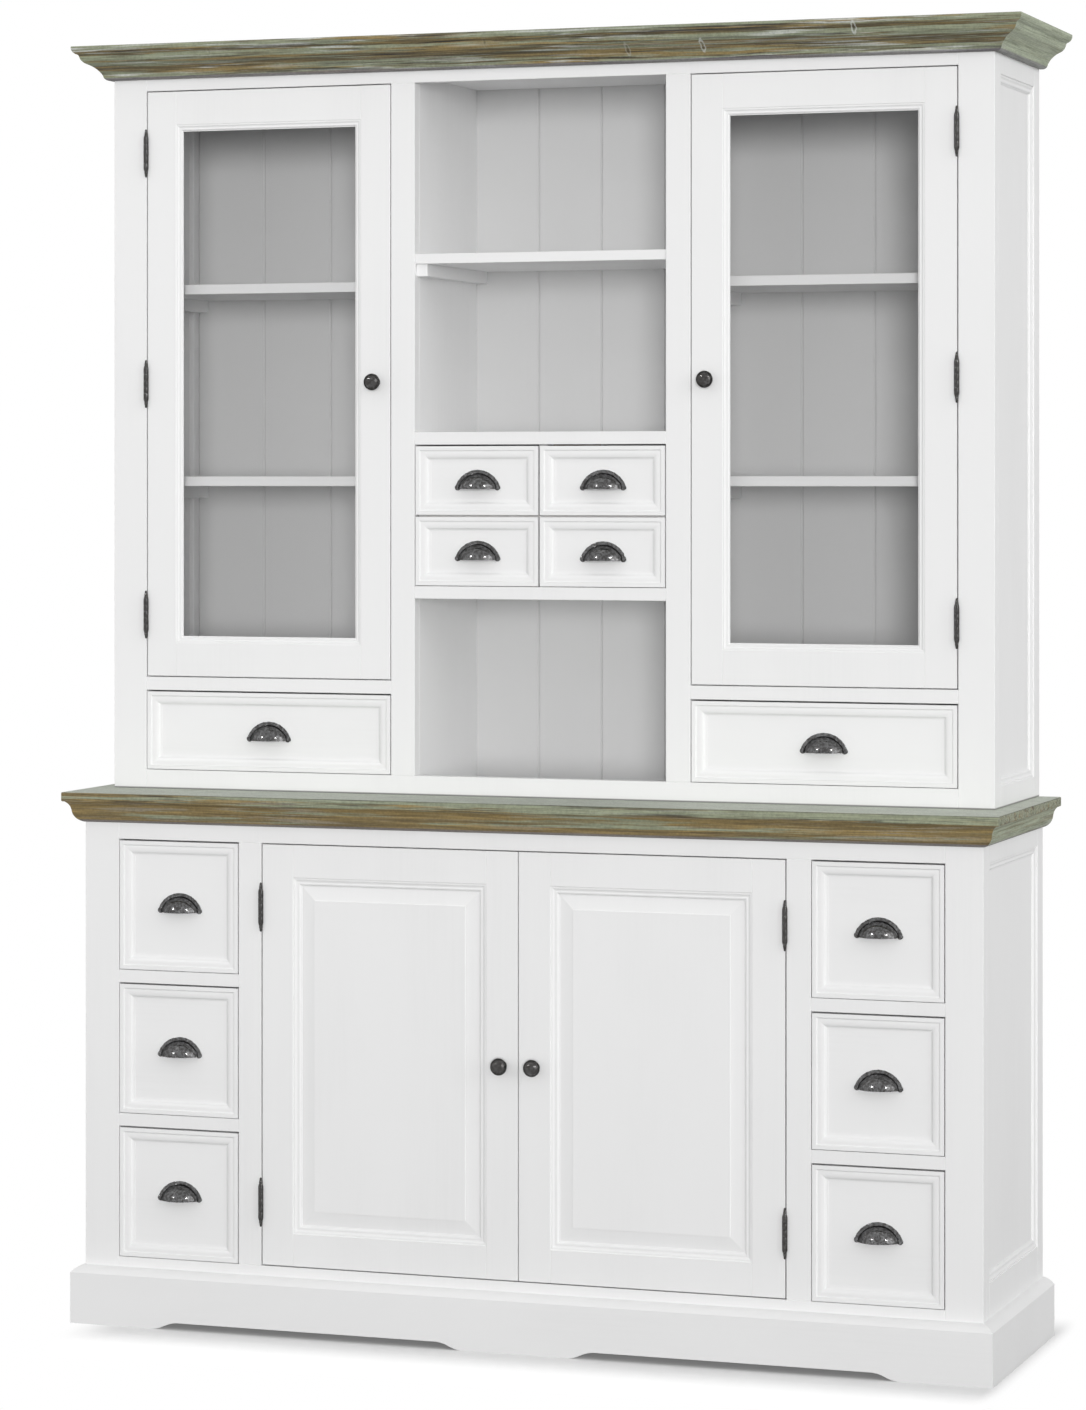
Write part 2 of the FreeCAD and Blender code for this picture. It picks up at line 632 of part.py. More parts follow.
# Doors
def add_hinges(name, edge, towards_door, face, heights):
    sets = [hinge(edge, towards_door, face, z) for z in heights]
    nodes[name + "_hinge_leaves"] = [door_leaf for frame_leaf, door_leaf, pin in sets]
    for frame_leaf, door_leaf, pin in sets:
        nodes["hinge_frame_leaves"] += [frame_leaf, pin]


def door_span(stile_edge, closing_edge):
    """Left and right edges of a door between its hinge stile and its closing line."""
    towards = 1 if closing_edge > stile_edge else -1
    return sorted((stile_edge + towards * HINGE_GAP, closing_edge - towards * FRONT_GAP)), towards


def base_door(name, stile_edge):
    closing = FRONT_GAP / 2 if stile_edge < 0 else -FRONT_GAP / 2
    (x0, x1), towards = door_span(stile_edge, closing)
    z0, z1 = opening_bottom + FRONT_GAP, opening_top - FRONT_GAP
    nodes[name] = framed_panel(x0, x1, z0, z1, base_front, DOOR_THICKNESS,
                               (DOOR_STILE, DOOR_STILE), (DOOR_RAIL, DOOR_RAIL), raised_panel)
    nodes[name + "_knob"] = [knob(-towards * KNOB_INSET, base_front, (z0 + z1) / 2)]
    heights = (opening_bottom + HINGE_INSET, opening_top - HINGE_INSET)
    add_hinges(name, stile_edge, towards, base_front, heights)


def glass_door(name, stile_edge, closing_edge):
    (x0, x1), towards = door_span(stile_edge, closing_edge)
    z0, z1 = glass_bottom + FRONT_GAP, glass_top - FRONT_GAP
    face, rear = hutch_front, hutch_front + DOOR_THICKNESS
    left, right = x0 + GLASS_DOOR_STILE, x1 - GLASS_DOOR_STILE
    low, high = z0 + GLASS_DOOR_RAIL, z1 - GLASS_DOOR_RAIL
    members = [
        board(x0, left, face, rear, z0, z1), board(right, x1, face, rear, z0, z1),
        board(left, right, face, rear, z0, low), board(left, right, face, rear, high, z1),
    ]
    seat = face + GLASS_SETBACK
    moulding = scaled_outline(PANEL_MOULDING_SHARES, GLASS_MOULDING_WIDTH, GLASS_MOULDING_HEIGHT)
    bead = scaled_outline(BEAD_SHARES, BEAD_WIDTH, -BEAD_HEIGHT)
    glass_rear = seat + GLASS_THICKNESS
    nodes[name + "_frame"] = (members
                              + mitred_frame(moulding, Vector(left, seat, low), right - left, high - low)
                              + mitred_frame(bead, Vector(left, glass_rear, low), right - left, high - low))
    nodes[name + "_glass"] = [box(left, right, seat, glass_rear, low, high)]
    nodes[name + "_knob"] = [knob(closing_edge - towards * KNOB_INSET, face, (z0 + z1) / 2)]
    heights = (glass_bottom + HINGE_INSET, (glass_bottom + glass_top) / 2, glass_top - HINGE_INSET)
    add_hinges(name, stile_edge, towards, face, heights)


# Drawers
def drawer(name, front, span, heights, box_span, seat, box_height, pull_lift=0):
    """A drawer: front board with mitred moulding, a box that runs on its seat, and a cup pull."""
    x0, x1 = span[0] + FRONT_GAP, span[1] - FRONT_GAP
    z0, z1 = heights[0] + DRAWER_BOTTOM_GAP, heights[1] - DRAWER_TOP_GAP
    field = front + DRAWER_MOULDING_HEIGHT
    rear = front + drawer_front_depth
    left, right = box_span[0] + BOX_SIDE_CLEARANCE, box_span[1] - BOX_SIDE_CLEARANCE
    low = seat + RUN_CLEARANCE
    high = low + box_height
    bottom = low + BOX_BOTTOM_RISE
    outline = scaled_outline(DRAWER_MOULDING_SHARES, DRAWER_MOULDING_WIDTH, DRAWER_MOULDING_HEIGHT)
    nodes[name] = [
        board(x0, x1, field, rear, z0, z1),
        board(left, left + BOX_WALL, rear, box_rear, low, high),
        board(right - BOX_WALL, right, rear, box_rear, low, high),
        board(left + BOX_WALL, right - BOX_WALL, box_rear - BOX_WALL, box_rear, bottom, high),
        board(left + BOX_WALL, right - BOX_WALL, rear, box_rear - BOX_WALL, bottom, bottom + BOX_BOTTOM),
    ] + mitred_frame(outline, Vector(x0, field, z0), x1 - x0, z1 - z0)
    pull_place = Vector((x0 + x1) / 2, field, (heights[0] + heights[1]) / 2 + pull_lift)
    nodes[name + "_pull"] = [pull_shape.translated(pull_place)]


def base_drawers():
    for side, span in (("left", (-drawer_outer, -drawer_inner)), ("right", (drawer_inner, drawer_outer))):
        for row, level in enumerate(("bottom", "middle", "top")):
            z = opening_bottom + row * drawer_pitch
            drawer("base_drawer_" + side + "_" + level, base_front, span, (z, z + BASE_DRAWER_OPENING),
                   span, z, BASE_BOX_HEIGHT, BASE_PULL_LIFT)


def hutch_drawers():
    for side, span in (("left", (-glass_outer, -glass_inner)), ("right", (glass_inner, glass_outer))):
        drawer("wide_drawer_" + side, hutch_front, span, (hutch_floor, wide_drawer_top),
               span, hutch_floor, WIDE_BOX_HEIGHT)
    inner = BANK_DIVIDER / 2
    columns = (("left", (-niche_half, 0), (-niche_half, -inner)),
               ("right", (0, niche_half), (inner, niche_half)))
    rows = (("lower", (bank_bottom, bank_middle), bank_bottom),
            ("upper", (bank_middle, bank_top), bank_middle + inner))
    for side, span, box_span in columns:
        for level, heights, seat in rows:
            drawer("small_drawer_" + level + "_" + side, hutch_front, span, heights, box_span, seat,
                   SMALL_BOX_HEIGHT)


# Assembly
nodes["plinth"] = plinth()
nodes["base_face_frame"] = base_face_frame()
nodes["base_side_right"] = side_panel(base_half, base_inner_front, BODY_BOTTOM, top_underside,
                                      (PLINTH_HEIGHT + BASE_SIDE_BOTTOM_REVEAL - BODY_BOTTOM,
                                       TOP_MOULDING_HEIGHT + BASE_SIDE_TOP_REVEAL))
nodes["base_side_left"] = mirrored(nodes["base_side_right"])
nodes["base_partitions"] = both_sides([board(base_partition, drawer_inner, base_inner_front,
                                             back_boards_face, opening_bottom, top_underside)])
nodes["base_floor"] = [board(-base_inside, base_inside, base_inner_front, back_boards_face,
                             floor_underside, opening_bottom)]
nodes["base_shelf"] = [board(-base_partition, base_partition, base_front + BASE_SHELF_SETBACK,
                             back_boards_face, base_shelf_top - SHELF_THICKNESS, base_shelf_top)]
nodes["base_back_boards"] = base_back_boards()
nodes["base_drawer_runners"] = base_runners()
nodes["base_top_boards"] = base_top_boards()
top_projection = TOP_OVERHANG - TOP_STEP
top_outline = scaled_outline(TOP_MOULDING_SHARES, top_projection, TOP_MOULDING_HEIGHT)
nodes["base_top_moulding"] = wrap_round(top_outline, base_half, base_front, top_projection, moulding_bottom)
nodes["hutch_face_frame"] = hutch_face_frame()
nodes["hutch_side_right"] = side_panel(hutch_half, hutch_inner_front, top_surface, cover_underside,
                                       (HUTCH_SIDE_BOTTOM_RAIL,
                                        cover_underside - cornice_bottom + HUTCH_SIDE_TOP_REVEAL))
nodes["hutch_side_left"] = mirrored(nodes["hutch_side_right"])
nodes["hutch_partitions"] = both_sides([board(niche_half, cabinet_inner, hutch_inner_front,
                                              back_boards_face, niche_floor, ceiling)])
nodes["hutch_decks"] = hutch_decks()
nodes["hutch_shelves"] = hutch_shelves()
nodes["cleats_and_stops"] = cleats_and_stops()
nodes["hutch_back_boards"] = hutch_back_boards()
nodes["hutch_drawer_guides"] = hutch_drawer_guides()
nodes["cornice"] = wrap_round(scaled_outline(CORNICE_SHARES, CORNICE_PROJECTION, CORNICE_HEIGHT),
                              hutch_half, hutch_front, CORNICE_PROJECTION, cornice_bottom)
nodes["hinge_frame_leaves"] = []
base_door("base_door_left", -door_outer)
base_door("base_door_right", door_outer)
glass_door("glass_door_left", -glass_outer, -glass_inner)
glass_door("glass_door_right", glass_outer, glass_inner)
pull_shape = cup_pull()
base_drawers()
hutch_drawers()

os.makedirs("parts", exist_ok=True)
for name, solids in nodes.items():
    Part.makeCompound(solids).exportStep("parts/" + name + ".step")
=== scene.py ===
import json
import math

import bmesh
import bpy
from mathutils import Matrix, Vector


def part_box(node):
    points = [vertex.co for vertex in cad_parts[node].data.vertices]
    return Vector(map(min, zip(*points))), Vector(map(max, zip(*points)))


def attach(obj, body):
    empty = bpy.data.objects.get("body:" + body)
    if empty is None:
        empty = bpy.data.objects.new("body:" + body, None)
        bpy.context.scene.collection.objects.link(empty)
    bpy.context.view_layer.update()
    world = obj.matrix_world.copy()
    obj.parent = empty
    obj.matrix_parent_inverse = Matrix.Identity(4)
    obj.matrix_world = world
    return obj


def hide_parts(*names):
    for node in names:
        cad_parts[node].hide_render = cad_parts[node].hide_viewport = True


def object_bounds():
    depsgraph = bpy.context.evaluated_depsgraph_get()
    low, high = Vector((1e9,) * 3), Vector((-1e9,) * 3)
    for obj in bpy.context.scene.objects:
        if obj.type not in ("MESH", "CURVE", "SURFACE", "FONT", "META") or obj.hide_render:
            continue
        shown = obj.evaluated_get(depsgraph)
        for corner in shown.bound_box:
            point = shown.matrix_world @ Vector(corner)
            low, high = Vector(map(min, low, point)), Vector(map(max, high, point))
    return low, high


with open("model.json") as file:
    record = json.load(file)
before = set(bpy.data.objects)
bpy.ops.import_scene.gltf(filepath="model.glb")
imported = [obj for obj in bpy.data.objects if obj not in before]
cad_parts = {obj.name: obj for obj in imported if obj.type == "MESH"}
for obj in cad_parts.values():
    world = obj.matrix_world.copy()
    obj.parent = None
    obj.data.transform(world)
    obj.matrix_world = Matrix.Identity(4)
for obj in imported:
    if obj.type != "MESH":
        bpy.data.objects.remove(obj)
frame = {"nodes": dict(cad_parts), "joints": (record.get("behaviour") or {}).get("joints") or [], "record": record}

bl_info = {
    "name": "Buffet cabinet",
    "version": (1, 0, 0),
    "blender": (4, 5, 0),
    "location": "3D View > Sidebar > Buffet",
    "description": "Gives the packed buffet cabinet its finishes, mouldings, metalwork and studio",
    "category": "Object",
}

CAD_LOW, CAD_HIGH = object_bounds()

# Axes and turns
RIGHT, REAR, UP = Vector((1, 0, 0)), Vector((0, 1, 0)), Vector((0, 0, 1))
FRONT, DOWN = -REAR, -UP
QUARTER, FULL = math.radians(90), math.radians(360)

# Steps of an arc, of a full turn, and the angle over which an edge stays sharp
ARC_STEPS, TURN_STEPS = 10, 40
SHARP_ANGLE = math.radians(32)
MERGE = 1e-6

# Sideways wander of the wood grain, and the knots in the cornice with their reach, in metres
SWAY = (0, 0.007, 0.007)
CORNICE_KNOTS = [(-0.584, -0.128, 2.186), (-0.0805, -0.125, 2.1835), (0.1659, -0.112, 2.165),
                 (0.2971, -0.112, 2.168), (0.5604, -0.135, 2.186)]
KNOT_REACH = (0.0035, 0.03, 0.009)

# Weathered finishes: grain axis, spread and paleness of the wash, strength of the lime and of the cracks,
# evenness of the wood's tone, and browning to the left
WEATHERED = {
    "weathered_cornice": ("X", 0.03, 0.06, 0.85, 0.90, 0.0, 0.0),
    "weathered_cornice_ends": ("Y", 0.30, 0.85, 0.30, 0.10, 0.4, 0.0),
    "weathered_moulding": ("X", -0.06, 0.0, 0.22, 0.30, 0.45, 0.05),
    "weathered_moulding_ends": ("Y", 0.14, 0.4, 0.30, 0.20, 0.4, 0.0),
    "weathered_planks": ("X", 0.03, 0.04, 0.16, 0.60, 0.0, 0.16),
}

# Where the wood is brown and where it no longer is, and the grey lip's reach over the lowest edge
BROWNED = (-0.85, -0.45)
LIP_CLEAR, LIP_FULL = 0.006, 0.003

# Roughness of the paint, strength and height of its relief, share of the darker paint on the back boards
# (a painted shade inside the hutch), and the half height of the grey seam over the counter top, a painted
# shadow under the hutch's foot, where it ends and where it is full
SATIN = (0.36, 0.50)
PAINT_RELIEF = (0.12, 0.0006)
BOARD_SHADE = 0.85
SEAM_SHADOW_CLEAR, SEAM_SHADOW_FULL = 0.0035, 0.0015

# How much darker the turned iron and the hinges are than the pulls
TURNED_DEPTH = 0.6

# Width of the lamps as seen from the cabinet, their directions, and how far off they hang
SOFT_LIGHT, KEY_LIGHT, SMALL_LIGHT = math.radians(45), math.radians(15), math.radians(2.5)
KEY_FROM, SIDE_FROM = Vector((0.36, -1.0, 0.05)), Vector((1.0, -0.45, 0.3))
LEFT_SPARK_FROM, RIGHT_SPARK_FROM = Vector((-0.62, -1.0, 0.50)), Vector((1.0, -1.0, 0.60))
LAMP_DISTANCE = 6.0

# Film width of the camera in millimetres, and how far it sees in metres
FILM_WIDTH, SIGHT = 36, 100

# Half the floor's width, reach of the shade in front of the plinth, where the shade ends and is full across,
# the floor's own light in the shade, and from where to where the floor's light on the cabinet grows
FLOOR_HALF = 40
SHADE_REACH, SHADE_END, SHADE_FULL = 0.20, 0.88, 0.80
FLOOR_GLOW = 0.13
BOUNCE_FROM, BOUNCE_TO = 0.9, 2.6

# Where the shaded floor begins to turn white and where it is white, to the left, right, front and back
FLOOR_FADE = (("X", -0.70, -0.80), ("X", 0.80, 0.84), ("Y", -0.231, -0.49), ("Y", 0.20, 0.40))

# Bodies and nodes of the frame, by kind
BODIES = frame["record"]["behaviour"]["bodies"]
DRAWERS = [body for body in BODIES if "_drawer_" in body]
BASE_DOORS = ["base_door_left", "base_door_right"]
GLASS_DOORS = ["glass_door_left", "glass_door_right"]
LEVEL_BOARDS = ["plinth", "base_floor", "base_shelf", "hutch_decks", "hutch_shelves", "cleats_and_stops"]
UPRIGHT_BOARDS = [
    "base_face_frame", "base_side_left", "base_side_right", "base_partitions", "base_back_boards",
    "hutch_face_frame", "hutch_side_left", "hutch_side_right", "hutch_partitions",
    "base_door_left", "base_door_right", "glass_door_left_frame", "glass_door_right_frame",
]

# Moulding and turning outlines as shares of depth and height: a pair ends a straight line,
# and four values are the middle and the end of an arc
CORNICE_SHARES = [(1, 0), (0.90, 0), (0.80, 0.03, 0.74, 0.14), (0.59, 0.34, 0.38, 0.475),
                  (0.25, 0.57, 0.185, 0.72), (0.16, 0.755), (0.05, 0.82, 0, 0.93), (0, 1), (1, 1)]
TOP_MOULDING_SHARES = [(1, 0), (0.95, 0), (0.54, 0.19, 0.33, 0.58), (0.30, 0.66),
                       (0.18, 0.86, 0, 0.985), (0, 1), (1, 1)]
KNOB_SHARES = [(0, 0), (0.64, 0), (0.64, 0.08), (0.40, 0.17, 0.36, 0.34), (0.50, 0.45),
               (0.93, 0.50, 1, 0.66), (0.80, 0.88, 0.20, 1), (0, 1)]
FINIAL_SHARES = [(0, 0), (0.90, 0), (0.90, 0.10), (0.72, 0.22, 0.62, 0.36), (0.66, 0.46, 0.58, 0.56),
                 (0.40, 0.90), (0.34, 0.97, 0.20, 1), (0, 1)]


class BuffetSizes(bpy.types.PropertyGroup):
    """Sizes of the pieces that this scene models"""

    worn_edge: bpy.props.FloatProperty(
        name="Worn edge", description="Rounding of the wooden edges", default=0.0012, unit="LENGTH")
    plank_count: bpy.props.IntProperty(
        name="Planks", description="Planks across the counter top", default=4, min=1)
    plank_edge: bpy.props.FloatProperty(
        name="Plank edge", description="Rounding of the planks' edges", default=0.0022, unit="LENGTH")
    cornice_projection: bpy.props.FloatProperty(
        name="Cornice projection", description="How far the cornice stands out from the hutch",
        default=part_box("hutch_face_frame")[0].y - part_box("cornice")[0].y, unit="LENGTH")
    moulding_projection: bpy.props.FloatProperty(
        name="Moulding projection",
        description="How far the moulding under the counter stands out from the base",
        default=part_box("base_face_frame")[0].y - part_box("base_top_moulding")[0].y, unit="LENGTH")
    pull_rim: bpy.props.FloatProperty(
        name="Pull rim", description="Width of the flat rim round a cup pull", default=0.0055, unit="LENGTH")
    pull_rim_thickness: bpy.props.FloatProperty(
        name="Pull rim thickness", description="Thickness of the rim of a cup pull",
        default=0.002, unit="LENGTH")
    pull_wall: bpy.props.FloatProperty(
        name="Pull wall", description="Thickness of the cup of a pull", default=0.002, unit="LENGTH")
    pull_end: bpy.props.FloatProperty(
        name="Pull end", description="Height of the straight ends of a cup pull",
        default=0.003, unit="LENGTH")
    ear_radius: bpy.props.FloatProperty(
        name="Ear radius", description="Radius of the ears of a cup pull", default=0.005, unit="LENGTH")
    ear_rise: bpy.props.FloatProperty(
        name="Ear rise", description="Height of the ears' centres over the lip",
        default=0.0025, unit="LENGTH")
    ear_thickness: bpy.props.FloatProperty(
        name="Ear thickness", description="Thickness of the ears of a cup pull",
        default=0.0035, unit="LENGTH")
    barrel_radius: bpy.props.FloatProperty(
        name="Barrel radius", description="Radius of a hinge's knuckles", default=0.0043, unit="LENGTH")
    barrel_length: bpy.props.FloatProperty(
        name="Barrel length", description="Length of a hinge's row of knuckles", default=0.055, unit="LENGTH")
    knuckles: bpy.props.IntProperty(
        name="Knuckles", description="Knuckles of a hinge", default=5, min=3)
    knuckle_gap: bpy.props.FloatProperty(
        name="Knuckle gap", description="Gap between two knuckles", default=0.0003, unit="LENGTH")
    finial: bpy.props.FloatProperty(
        name="Finial", description="Height of the turned end of a hinge pin", default=0.014, unit="LENGTH")
    leaf_depth: bpy.props.FloatProperty(
        name="Leaf depth", description="Depth of a hinge leaf in the gap", default=0.018, unit="LENGTH")
    leaf_thickness: bpy.props.FloatProperty(
        name="Leaf thickness", description="Thickness of a hinge leaf", default=0.001, unit="LENGTH")
    hinge_gap: bpy.props.FloatProperty(
        name="Hinge gap", description="Gap between a stile and its door", default=0.0024, unit="LENGTH")
    drawer_front: bpy.props.FloatProperty(
        name="Drawer front", description="Painted depth of a drawer behind its face",
        default=0.0195, unit="LENGTH")
    guide_front: bpy.props.FloatProperty(
        name="Guide front", description="Painted depth of the dividers between the small drawers",
        default=0.03, unit="LENGTH")


class BuffetColours(bpy.types.PropertyGroup):
    """Colours of the finishes"""

    def colour(name, description, value):
        return bpy.props.FloatVectorProperty(
            name=name, description=description, default=value, size=3, min=0, max=1, subtype="COLOR")

    paint: colour("Paint", "Satin white paint", (0.85, 0.85, 0.85))
    paint_dull: colour("Dull paint", "Paint where a brush left it thin", (0.825, 0.825, 0.825))
    # Painted shade: the hutch's back boards take darker paint to shade the inside of its niches and cupboards
    paint_board_shade: colour("Thin paint", "Single coat on the back boards of the hutch", (0.575, 0.575, 0.575))
    # Painted shadow: the grey seam colour stands for the shadow at the foot of the hutch on the counter top
    seam: colour("Seam", "Dust in the seam between hutch and counter top", (0.26, 0.26, 0.25))
    bare_wood: colour("Bare wood", "Unpainted wood of the drawer boxes", (0.60, 0.45, 0.29))
    bare_wood_dark: colour("Bare wood, late growth", "Darker rings of the unpainted wood", (0.42, 0.28, 0.15))
    brown: colour("Brown wood", "Weathered wood in its hollows", (0.105, 0.080, 0.040))
    ochre: colour("Ochre wood", "Weathered wood between the rings", (0.310, 0.225, 0.088))
    wash: colour("Grey-green wash", "Wash rubbed over the weathered wood", (0.290, 0.325, 0.225))
    pale_wash: colour("Pale wash", "Wash left thick on the top and the ends", (0.50, 0.57, 0.42))
    lime: colour("Lime", "White lime left in the pores", (0.62, 0.64, 0.60))
    crack: colour("Cracks", "Dark lines along the grain", (0.045, 0.042, 0.040))
    lip: colour("Lower lip", "Grey wood on the faces that look down", (0.24, 0.23, 0.25))
    iron: colour("Iron", "Burnished dark iron", (0.135, 0.136, 0.138))
    iron_worn: colour("Worn iron", "Iron where hands have rubbed it", (0.225, 0.225, 0.227))
    glass: colour("Glass", "Tint of the panes", (0.50, 0.50, 0.50))
    glass_pale: colour("Pale glass", "Tint of the panes where they wave", (0.58, 0.58, 0.58))
    floor: colour("Floor", "Pale studio floor", (0.86, 0.86, 0.86))
    floor_shade: colour("Floor shade", "Floor just in front of the plinth", (0.43, 0.43, 0.43))
    bounce: colour("Floor light", "Floor as it lights the cabinet from afar", (0.50, 0.50, 0.50))
    bounce_near: colour("Near floor light", "Floor as it lights the cabinet from below", (0.08, 0.08, 0.08))


class BuffetStudio(bpy.types.PropertyGroup):
    """Camera and lamps"""

    camera_place: bpy.props.FloatVectorProperty(
        name="Camera", description="Place of the camera",
        default=(2.3924, -6.9049, 1.4448), subtype="XYZ_LENGTH")
    camera_turn: bpy.props.FloatProperty(
        name="Camera turn", description="Turn of the level camera to the left",
        default=math.radians(19.302), subtype="ANGLE")
    lens: bpy.props.FloatProperty(
        name="Lens", description="Focal length on a 36 mm frame", default=109.52, unit="CAMERA")
    shift: bpy.props.FloatProperty(
        name="Lens shift", description="Upward shift of the lens", default=-0.1584)
    key_power: bpy.props.FloatProperty(
        name="Key lamp", description="Strength of the broad light from the front", default=1.50)
    spark_power: bpy.props.FloatProperty(
        name="Spark lamps", description="Strength of the two small lamps that glint on the metal",
        default=0.55)
    side_power: bpy.props.FloatProperty(
        name="Side lamp", description="Strength of the broad light from the right", default=0.68)
    air: bpy.props.FloatProperty(
        name="Room light", description="Strength of the even light from all sides", default=0.60)


# Shader nodes
def add(tree, kind, inputs=(), **settings):
    """Adds a shader node with its settings, and sets or links its inputs."""
    made = tree.nodes.new(kind)
    for key, value in settings.items():
        setattr(made, key, value)
    for key, value in dict(inputs).items():
        if isinstance(value, bpy.types.NodeSocket):
            tree.links.new(value, made.inputs[key])
        else:
            made.inputs[key].default_value = value
    return made


def maths(tree, operation, *values):
    return add(tree, "ShaderNodeMath", enumerate(values), operation=operation).outputs[0]


def times(tree, first, second):
    return maths(tree, "MULTIPLY", first, second)


def plus(tree, first, second):
    return maths(tree, "ADD", first, second)


def noise(tree, vector, scale, detail, roughness=0.55):
    inputs = {"Vector": vector, "Scale": scale, "Detail": detail, "Roughness": roughness}
    return add(tree, "ShaderNodeTexNoise", inputs).outputs["Fac"]


def stretched(tree, vector, scale, shift=(0, 0, 0)):
    inputs = {"Vector": vector, "Location": shift, "Scale": scale}
    return add(tree, "ShaderNodeMapping", inputs).outputs[0]


def ramped(tree, value, low, high, to_low=0.0, to_high=1.0, smooth=True):
    """A value brought from one range into another, and held inside it."""
    inputs = {"Value": value, "From Min": low, "From Max": high, "To Min": to_low, "To Max": to_high}
    kind = "SMOOTHSTEP" if smooth else "LINEAR"
    return add(tree, "ShaderNodeMapRange", inputs, interpolation_type=kind).outputs[0]


def mixed(tree, factor, first, second, blend="MIX"):
    """A mix of two colours."""
    made = add(tree, "ShaderNodeMix", {"Factor": factor}, data_type="RGBA", blend_type=blend)
    for socket, value in ((made.inputs[6], first), (made.inputs[7], second)):
        if isinstance(value, bpy.types.NodeSocket):
            tree.links.new(value, socket)
        else:
            socket.default_value = (*value, 1)
    return made.outputs[2]


def new_group(name, inputs, outputs):
    """A shader node group with its sockets, and its two end nodes."""
    group = bpy.data.node_groups.new(name, "ShaderNodeTree")
    for label, kind in inputs:
        group.interface.new_socket(name=label, in_out="INPUT", socket_type="NodeSocket" + kind)
    for label, kind in outputs:
        group.interface.new_socket(name=label, in_out="OUTPUT", socket_type="NodeSocket" + kind)
    return group, group.nodes.new("NodeGroupInput").outputs, group.nodes.new("NodeGroupOutput").inputs


def placed(tree, group, inputs):
    """The outputs of a group placed in a material."""
    return add(tree, "ShaderNodeGroup", inputs, node_tree=group).outputs


def brush_group():
    """Brush marks along X: how thin the paint is, and its relief."""
    group, given, out = new_group(
        "Brush marks", [("Vector", "Vector")], [("Thin", "Float"), ("Height", "Float")])
    broad = noise(group, stretched(group, given["Vector"], (0.7, 2.2, 2.2)), 3.0, 3.0)
    strokes = noise(group, stretched(group, given["Vector"], (6, 210, 210)), 1.0, 3.0, 0.6)
    peel = noise(group, given["Vector"], 260.0, 2.0)
    thin = times(group, ramped(group, broad, 0.38, 0.72), ramped(group, strokes, 0.35, 0.70, 0.5, 1.0))
    height = plus(group, times(group, strokes, 0.7), times(group, peel, 0.3))
    group.links.new(thin, out["Thin"])
    group.links.new(height, out["Height"])
    return group


def grain_group():
    """Plain wood grain along X: growth rings and pores."""
    group, given, out = new_group(
        "Wood grain", [("Vector", "Vector")], [("Rings", "Float"), ("Height", "Float")])
    wander = noise(group, stretched(group, given["Vector"], (1.4, 9, 9)), 1.0, 2.0)
    across = add(group, "ShaderNodeSeparateXYZ", {"Vector": given["Vector"]}).outputs
    depth = plus(group, times(group, across["Y"], 70.0), times(group, across["Z"], 95.0))
    waves = maths(group, "SINE", plus(group, depth, times(group, wander, 22.0)))
    pores = noise(group, stretched(group, given["Vector"], (18, 620, 620)), 1.0, 2.0)
    rings = times(group, ramped(group, waves, -0.4, 1.0), ramped(group, pores, 0.3, 0.6, 0.55, 1.0))
    group.links.new(rings, out["Rings"])
    group.links.new(pores, out["Height"])
    return group


def weather_group():
    """Weathered wood along X: tone of the wood, masks of wash, lime, cracks and mottle, and relief."""
    group, given, out = new_group(
        "Weathered grain", [("Vector", "Vector"), ("Wash", "Float")],
        [("Tone", "Float"), ("Wash", "Float"), ("Lime", "Float"), ("Crack", "Float"), ("Mottle", "Float"),
         ("Height", "Float")])
    broad_path = stretched(group, given["Vector"], (2.2, 10, 10))
    wander = add(
        group, "ShaderNodeTexNoise", {"Vector": broad_path, "Scale": 1.0, "Detail": 2.0}).outputs["Color"]
    sway = add(group, "ShaderNodeVectorMath", {0: wander, 1: SWAY}, operation="MULTIPLY").outputs[0]
    path = add(group, "ShaderNodeVectorMath", {0: given["Vector"], 1: sway}, operation="ADD").outputs[0]
    broad = noise(group, stretched(group, path, (1.6, 55, 55)), 1.0, 3.0, 0.55)
    lines = noise(group, stretched(group, path, (5.0, 190, 190), (0.9, 2.3, 1.1)), 1.0, 3.0, 0.65)
    fibres = noise(group, stretched(group, path, (14, 620, 620)), 1.0, 3.0, 0.6)
    cloud = noise(group, stretched(group, path, (2.8, 105, 105), (3.1, 0.7, 0.2)), 1.0, 4.0, 0.65)
    streak = noise(group, stretched(group, path, (7.0, 230, 230), (0.4, 1.9, 0.6)), 1.0, 3.0, 0.6)
    patch = noise(group, stretched(group, path, (4.0, 26, 26), (1.4, 0.1, 2.2)), 1.0, 2.0)
    split = noise(group, stretched(group, path, (4.5, 200, 200), (2.0, 0.3, 1.7)), 1.0, 3.0, 0.65)
    speckle = noise(group, given["Vector"], 210.0, 3.0, 0.7)
    tone = plus(group, times(group, broad, 0.4), times(group, lines, 0.6))
    wash = ramped(group, plus(group, cloud, given["Wash"]), 0.44, 0.54)
    thin = ramped(group, lines, 0.36, 0.54, 0.35, 1.0)
    lime = times(group, ramped(group, streak, 0.53, 0.61), ramped(group, patch, 0.40, 0.60, 0.25, 1.0))
    crack = times(group, ramped(group, split, 0.56, 0.62), ramped(group, cloud, 0.62, 0.42, 0.45, 1.0))
    relief = maths(group, "SUBTRACT", plus(group, fibres, lines), crack)
    group.links.new(ramped(group, tone, 0.40, 0.58), out["Tone"])
    group.links.new(times(group, wash, thin), out["Wash"])
    group.links.new(lime, out["Lime"])
    group.links.new(crack, out["Crack"])
    mottle = plus(group, times(group, speckle, 0.4), times(group, fibres, 0.6))
    group.links.new(ramped(group, mottle, 0.38, 0.62), out["Mottle"])
    group.links.new(relief, out["Height"])
    return group


def new_material(name, colour):
    """A material with a Principled surface, and its tree and shader."""
    material = bpy.data.materials.new(name)
    material.use_nodes = True
    material.diffuse_color = (*colour, 1)
    return material, material.node_tree, material.node_tree.nodes["Principled BSDF"]


